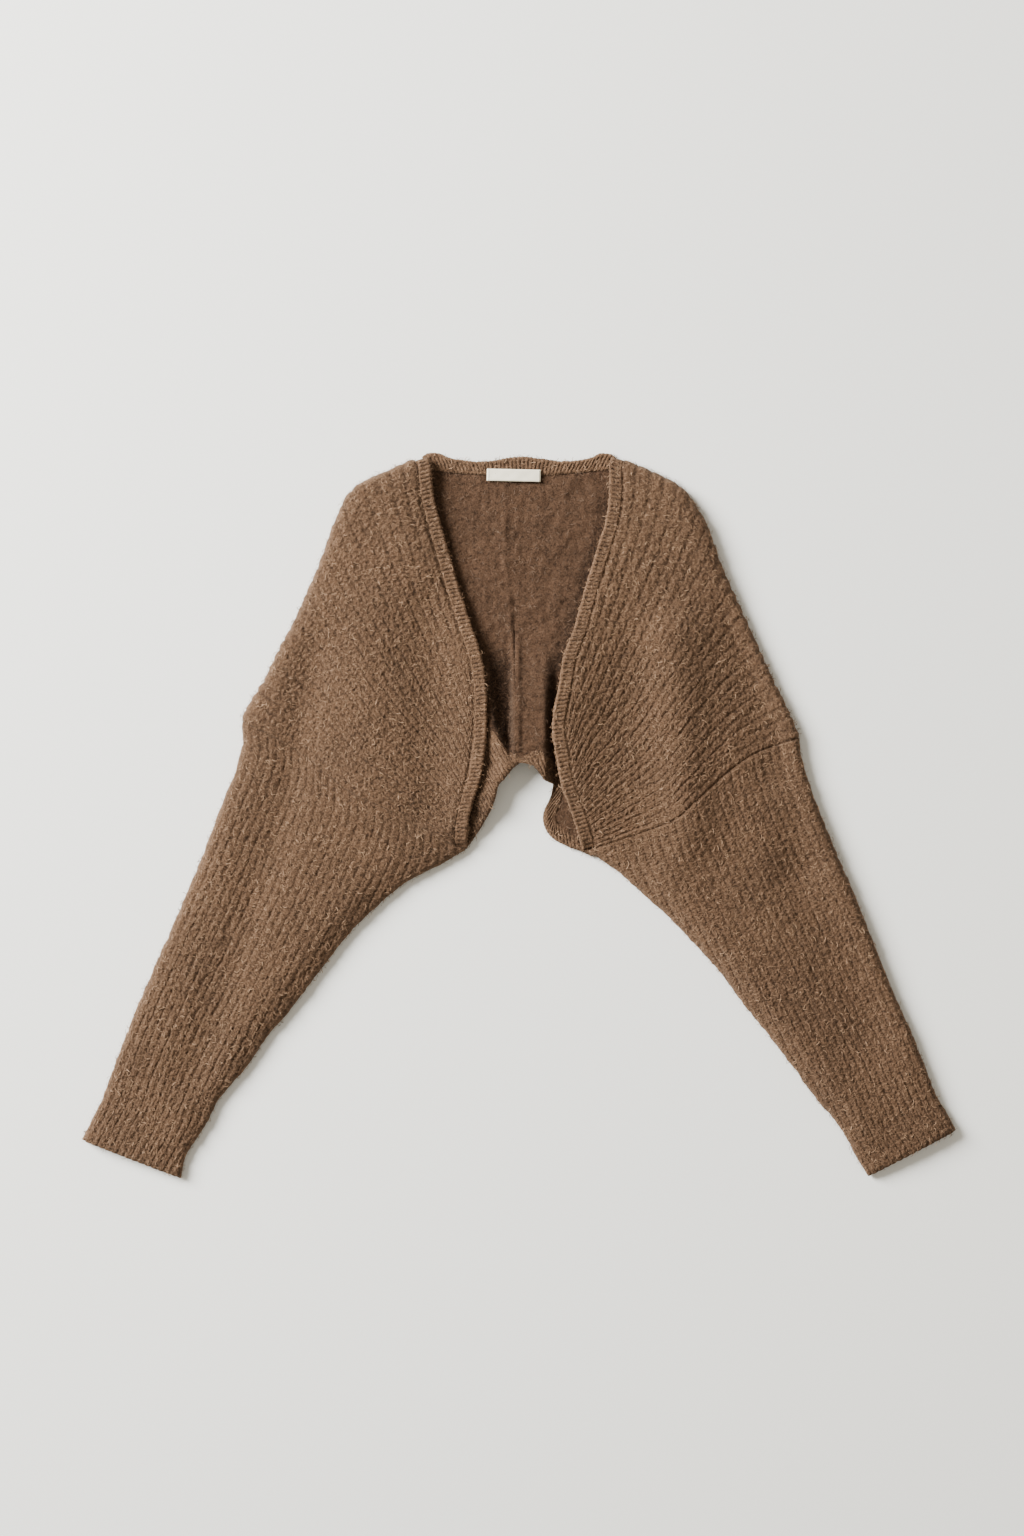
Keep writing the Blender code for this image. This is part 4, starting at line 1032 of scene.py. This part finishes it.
def nap_material(name, dark, light):
    """Loose brushed fibres, lighter than the yarn that they stand out of."""
    made, tree, shader = new_material(name)
    tone = noise(tree, own_place(tree), 160.0, Detail=2.0)["Fac"]
    colour = blend(tree, ramp(tree, tone, 0.35, 0.65), dark, light)
    fill(tree, shader, {"Base Color": colour, "Roughness": 0.75, "Specular IOR Level": 0.25})
    return made


def thread_material():
    """The off-white thread that holds the label."""
    made, tree, shader = new_material("label_thread")
    twist = wave(tree, own_place(tree), 900.0, 0.0, "DIAGONAL")
    colour = blend(tree, twist, (0.55, 0.5, 0.42, 1), (0.75, 0.71, 0.63, 1))
    fill(tree, shader, {"Base Color": colour, "Roughness": 0.6})
    return made


def floor_material():
    made, tree, shader = new_material("pale_floor")
    cloud = noise(tree, own_place(tree), 1.3, Detail=1.0)["Fac"]
    colour = blend(tree, cloud, (0.86, 0.86, 0.825, 1), (0.89, 0.89, 0.855, 1))
    fill(tree, shader, {"Base Color": colour, "Roughness": 0.85, "Specular IOR Level": 0.1})
    return made


# Brushed fibres and stitches, made by geometry nodes, with more and longer ones along the outline
RIM_FACING, RIM_MORE, RIM_STAND = 0.65, 2.2, 0.9
BACK_NAP, BAND_NAP, KNIT_NAP = 60000.0, 65000.0, 95000.0

# The short threads at the label's ends, in millimetres
THREADS, THREAD_SIDES = 6, 6
THREAD_INSET, THREAD_SPACING = 1.6, 1.8
THREAD_HALF, THREAD_RISE, THREAD_RADIUS = 0.7, 0.28, 0.17


def nap_tree(finish):
    """Short curled fibres scattered over a panel's surface."""
    tree = bpy.data.node_groups.new("Brushed nap", "GeometryNodeTree")
    tree.interface.new_socket("Panel", in_out="INPUT", socket_type="NodeSocketGeometry")
    for label, value in (("Fibres per square metre", 150000.0), ("Fibre length", 0.0048),
                         ("Fibre width", 0.00038), ("Stand", 0.0015)):
        tree.interface.new_socket(label, in_out="INPUT", socket_type=NUMBER).default_value = value
    tree.interface.new_socket("Seed", in_out="INPUT", socket_type="NodeSocketInt").default_value = 1
    tree.interface.new_socket("Nap", in_out="OUTPUT", socket_type="NodeSocketGeometry")
    given, result = tree.nodes.new("NodeGroupInput").outputs, tree.nodes.new("NodeGroupOutput").inputs
    facing = split(tree, add(tree, "GeometryNodeInputNormal").outputs[0])[2]
    shown = add(tree, "FunctionNodeCompare", {0: facing, 1: -0.1}, operation="GREATER_THAN").outputs[0]
    at_rim = calc(tree, "MULTIPLY_ADD", ramp(tree, facing, RIM_FACING, 0.1), RIM_MORE, 1.0)
    scatter = add(tree, "GeometryNodeDistributePointsOnFaces",
                  {"Mesh": given["Panel"], "Seed": given["Seed"], "Selection": shown,
                   "Density": times(tree, given["Fibres per square metre"], at_rim)}).outputs
    length, stand = given["Fibre length"], given["Stand"]
    bend = join(tree, times(tree, length, 0.5), 0.0, stand)
    tip = join(tree, times(tree, length, 0.75), times(tree, length, 0.5), times(tree, stand, 0.6))
    curve = add(tree, "GeometryNodeCurveQuadraticBezier",
                {"Resolution": 3, "Start": (0, 0, -0.0002), "Middle": bend, "End": tip}).outputs[0]
    half = times(tree, given["Fibre width"], 0.5)
    profile = add(tree, "GeometryNodeCurvePrimitiveLine",
                  {"Start": join(tree, times(tree, half, -1.0)), "End": join(tree, half)}).outputs[0]
    fibre = add(tree, "GeometryNodeCurveToMesh", {"Curve": curve, "Profile Curve": profile}).outputs[0]
    spin = add(tree, "FunctionNodeRandomValue",
               {0: (-0.35, -0.35, -math.pi), 1: (0.35, 0.35, math.pi), "Seed": given["Seed"]},
               data_type="FLOAT_VECTOR").outputs[0]
    spin = add(tree, "FunctionNodeEulerToRotation", {"Euler": spin}).outputs[0]
    turned = add(tree, "FunctionNodeRotateRotation",
                 {"Rotation": scatter["Rotation"], "Rotate By": spin}, rotation_space="LOCAL").outputs[0]
    size = add(tree, "FunctionNodeRandomValue", {0: (0.5, -1.3, 0.2), 1: (1.3, 1.3, 1.3), "Seed": 7},
               data_type="FLOAT_VECTOR").outputs[0]
    outward = split(tree, scatter["Normal"])[2]
    taller = calc(tree, "MULTIPLY_ADD", ramp(tree, outward, RIM_FACING, 0.1), RIM_STAND, 1.0)
    size = add(tree, "ShaderNodeVectorMath", {0: size, 1: join(tree, 1.0, 1.0, taller)},
               operation="MULTIPLY").outputs[0]
    placed = add(tree, "GeometryNodeInstanceOnPoints",
                 {"Points": scatter["Points"], "Instance": fibre, "Rotation": turned,
                  "Scale": size}).outputs[0]
    real = add(tree, "GeometryNodeRealizeInstances", {0: placed}).outputs[0]
    spot = split(tree, add(tree, "GeometryNodeInputPosition").outputs[0])
    lifted = join(tree, spot[0], spot[1], calc(tree, "MAXIMUM", spot[2], 0.0001))
    above = add(tree, "GeometryNodeSetPosition", {"Geometry": real, "Position": lifted}).outputs[0]
    done = add(tree, "GeometryNodeSetMaterial", {"Geometry": above, "Material": finish}).outputs[0]
    tree.links.new(done, result["Nap"])
    return tree


def baked(base, name, tree, **values):
    """The plain mesh that a node tree makes from a piece, as a piece of its own."""
    helper = link_object(name + "_helper", base.data.copy())
    modifier = helper.modifiers.new("nodes", "NODES")
    modifier.node_group = tree
    sockets = {item.name: item.identifier for item in tree.interface.items_tree if item.in_out == "INPUT"}
    for key, value in values.items():
        modifier[sockets[key.replace("_", " ")]] = value
    graph = bpy.context.evaluated_depsgraph_get()
    mesh = bpy.data.meshes.new_from_object(helper.evaluated_get(graph))
    mesh.name = name
    bpy.data.objects.remove(helper, do_unlink=True)
    return link_object(name, mesh)


def label_stitches(finish):
    """A row of short threads across each end of the label."""
    bm = bmesh.new()
    turn = np.linspace(0, 2 * math.pi, THREAD_SIDES, endpoint=False)
    level = LABEL_FOOT + LABEL_THICKNESS + 0.1
    for end in (-1, 1):
        row = np.array(LABEL_CENTRE) + end * (LABEL_LENGTH / 2 - THREAD_INSET) * LABEL_ACROSS
        for k in range(THREADS):
            middle = row + (k - (THREADS - 1) / 2) * THREAD_SPACING * LABEL_UP
            rings = []
            for t in np.linspace(-1, 1, 5):
                x, y = middle + t * THREAD_HALF * LABEL_UP - ORIGIN
                z = level + THREAD_RISE * math.cos(t * math.pi / 2)
                rings.append([bm.verts.new(((x + THREAD_RADIUS * math.cos(a) * LABEL_ACROSS[0]) * MM,
                                            (y + THREAD_RADIUS * math.cos(a) * LABEL_ACROSS[1]) * MM,
                                            (z + THREAD_RADIUS * math.sin(a)) * MM))
                              for a in turn])
            for one, two in zip(rings, rings[1:]):
                for a in range(THREAD_SIDES):
                    b = (a + 1) % THREAD_SIDES
                    bm.faces.new((one[a], one[b], two[b], two[a]))
            bm.faces.new(rings[0][::-1])
            bm.faces.new(rings[-1])
    bmesh.ops.recalc_face_normals(bm, faces=bm.faces)
    mesh = bpy.data.meshes.new("label_stitches")
    bm.to_mesh(mesh)
    bm.free()
    mesh.shade_smooth()
    mesh.materials.append(finish)
    return link_object("label_stitches", mesh)


# The garment
RIB_TONES = Tones(main=(0.096, 0.0505, 0.0265, 1), dark=(0.014, 0.0062, 0.0029, 1),
                  light=(0.228, 0.142, 0.087, 1))
BAND_TONES = RIB_TONES._replace(main=(0.108, 0.058, 0.031, 1))
INSIDE_TONES = Tones(main=(0.067, 0.0345, 0.0188, 1), dark=(0.01, 0.0043, 0.002, 1),
                     light=(0.13, 0.076, 0.046, 1))
RIB_KNIT = knit_material("rib_knit", RIB_TONES, Shading(0.25, 0.45, 0.76, 1.0, 0.25, 0.6))
BAND_KNIT = knit_material("band_knit", BAND_TONES, Shading(0.1, 0.5, 0.9, 0.9, 0.25, 0.6))
INSIDE_KNIT = knit_material("inside_knit", INSIDE_TONES, Shading(0.03, 0.6, 0.97, 1.0, 0.1, 0.15))
NAP = nap_tree(nap_material("brushed_nap", (0.11, 0.06, 0.032, 1), (0.29, 0.18, 0.107, 1)))
INSIDE_NAP = nap_tree(nap_material("inside_nap", (0.06, 0.033, 0.019, 1), (0.13, 0.08, 0.05, 1)))

PANELS = []


def keep(piece, node):
    """A piece of cloth that lies where its solid is."""
    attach(piece, "root")
    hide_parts(node)
    PANELS.append(piece)
    return piece


for side, word in WORDS.items():
    keep(make_back(side, INSIDE_KNIT), "back_" + word)
    keep(make_front(side, RIB_KNIT), "front_" + word)
    keep(make_sleeve(side, RIB_KNIT), "sleeve_" + word)
    keep(make_band("knit_band_" + word, EDGE[side], BAND_SEAM[side],
                   lambda flat: upper_foot(side, flat), BAND_KNIT, 61 + side, tuck=3.0),
         "band_front_" + word)
keep(make_band("knit_neck_band", NECK_EDGE, NECK_SEAM, lambda flat: np.zeros(len(flat)), BAND_KNIT, 71),
     "band_neck")
keep(make_band("knit_hem_band", HEM_EDGE, HEM_SEAM, back_foot, BAND_KNIT, 81, seam_depth=0.2,
               shades=HEM_SHADE),
     "band_hem")

for number, piece in enumerate(PANELS):
    in_back = "back" in piece.name
    density = BACK_NAP if in_back else BAND_NAP if "band" in piece.name else KNIT_NAP
    nap = baked(piece, piece.name.replace("knit", "nap"), INSIDE_NAP if in_back else NAP,
                Fibres_per_square_metre=density, Seed=number + 1)
    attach(nap, "root")

label = make_label(label_material())
threads = label_stitches(thread_material())
for piece in (label, threads):
    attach(piece, "root")
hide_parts("label")


# The floor, the light and the camera
FLOOR_REACH, FLOOR_LEVEL = 6.0, -0.0004
SKY_COLOUR, SKY_STRENGTH = (1.0, 0.925, 0.79, 1), 0.56
WINDOW_PLACE, WINDOW_SIZE, WINDOW_POWER = (-3.15, 1.8, 2.08), 2.2, 790.0
WINDOW_COLOUR = (1.0, 1.0, 0.985)


def make_floor():
    corners = ((-1, -1), (1, -1), (1, 1), (-1, 1))
    mesh = bpy.data.meshes.new("floor")
    mesh.from_pydata([(x * FLOOR_REACH, y * FLOOR_REACH, FLOOR_LEVEL) for x, y in corners],
                     [], [(0, 1, 2, 3)])
    mesh.materials.append(floor_material())
    link_object("floor", mesh)


def aim(thing, place, target):
    thing.location = place
    thing.rotation_euler = (Vector(target) - Vector(place)).to_track_quat("-Z", "Y").to_euler()


def light_scene():
    world = bpy.data.worlds.new("studio")
    world.use_nodes = True
    sky = world.node_tree.nodes["Background"].inputs
    sky[0].default_value = SKY_COLOUR
    sky[1].default_value = SKY_STRENGTH
    bpy.context.scene.world = world
    light = bpy.data.lights.new("window", "AREA")
    light.shape = "DISK"
    light.size = WINDOW_SIZE
    light.energy = WINDOW_POWER
    light.color = WINDOW_COLOUR
    aim(link_object("window", light), WINDOW_PLACE, (0, 0, 0))


VIEW_CENTRE = (-0.0067, 0.04565)
VIEW_HEIGHT = 1.4592
CAMERA_HEIGHT = 2.2
SENSOR = 36.0


def add_camera():
    camera = bpy.data.cameras.new("camera")
    camera.sensor_fit = "VERTICAL"
    camera.sensor_height = SENSOR
    camera.lens = SENSOR * CAMERA_HEIGHT / VIEW_HEIGHT
    camera.clip_end = 20.0
    made = link_object("camera", camera)
    made.location = (*VIEW_CENTRE, CAMERA_HEIGHT)
    bpy.context.scene.camera = made


make_floor()
light_scene()
add_camera()
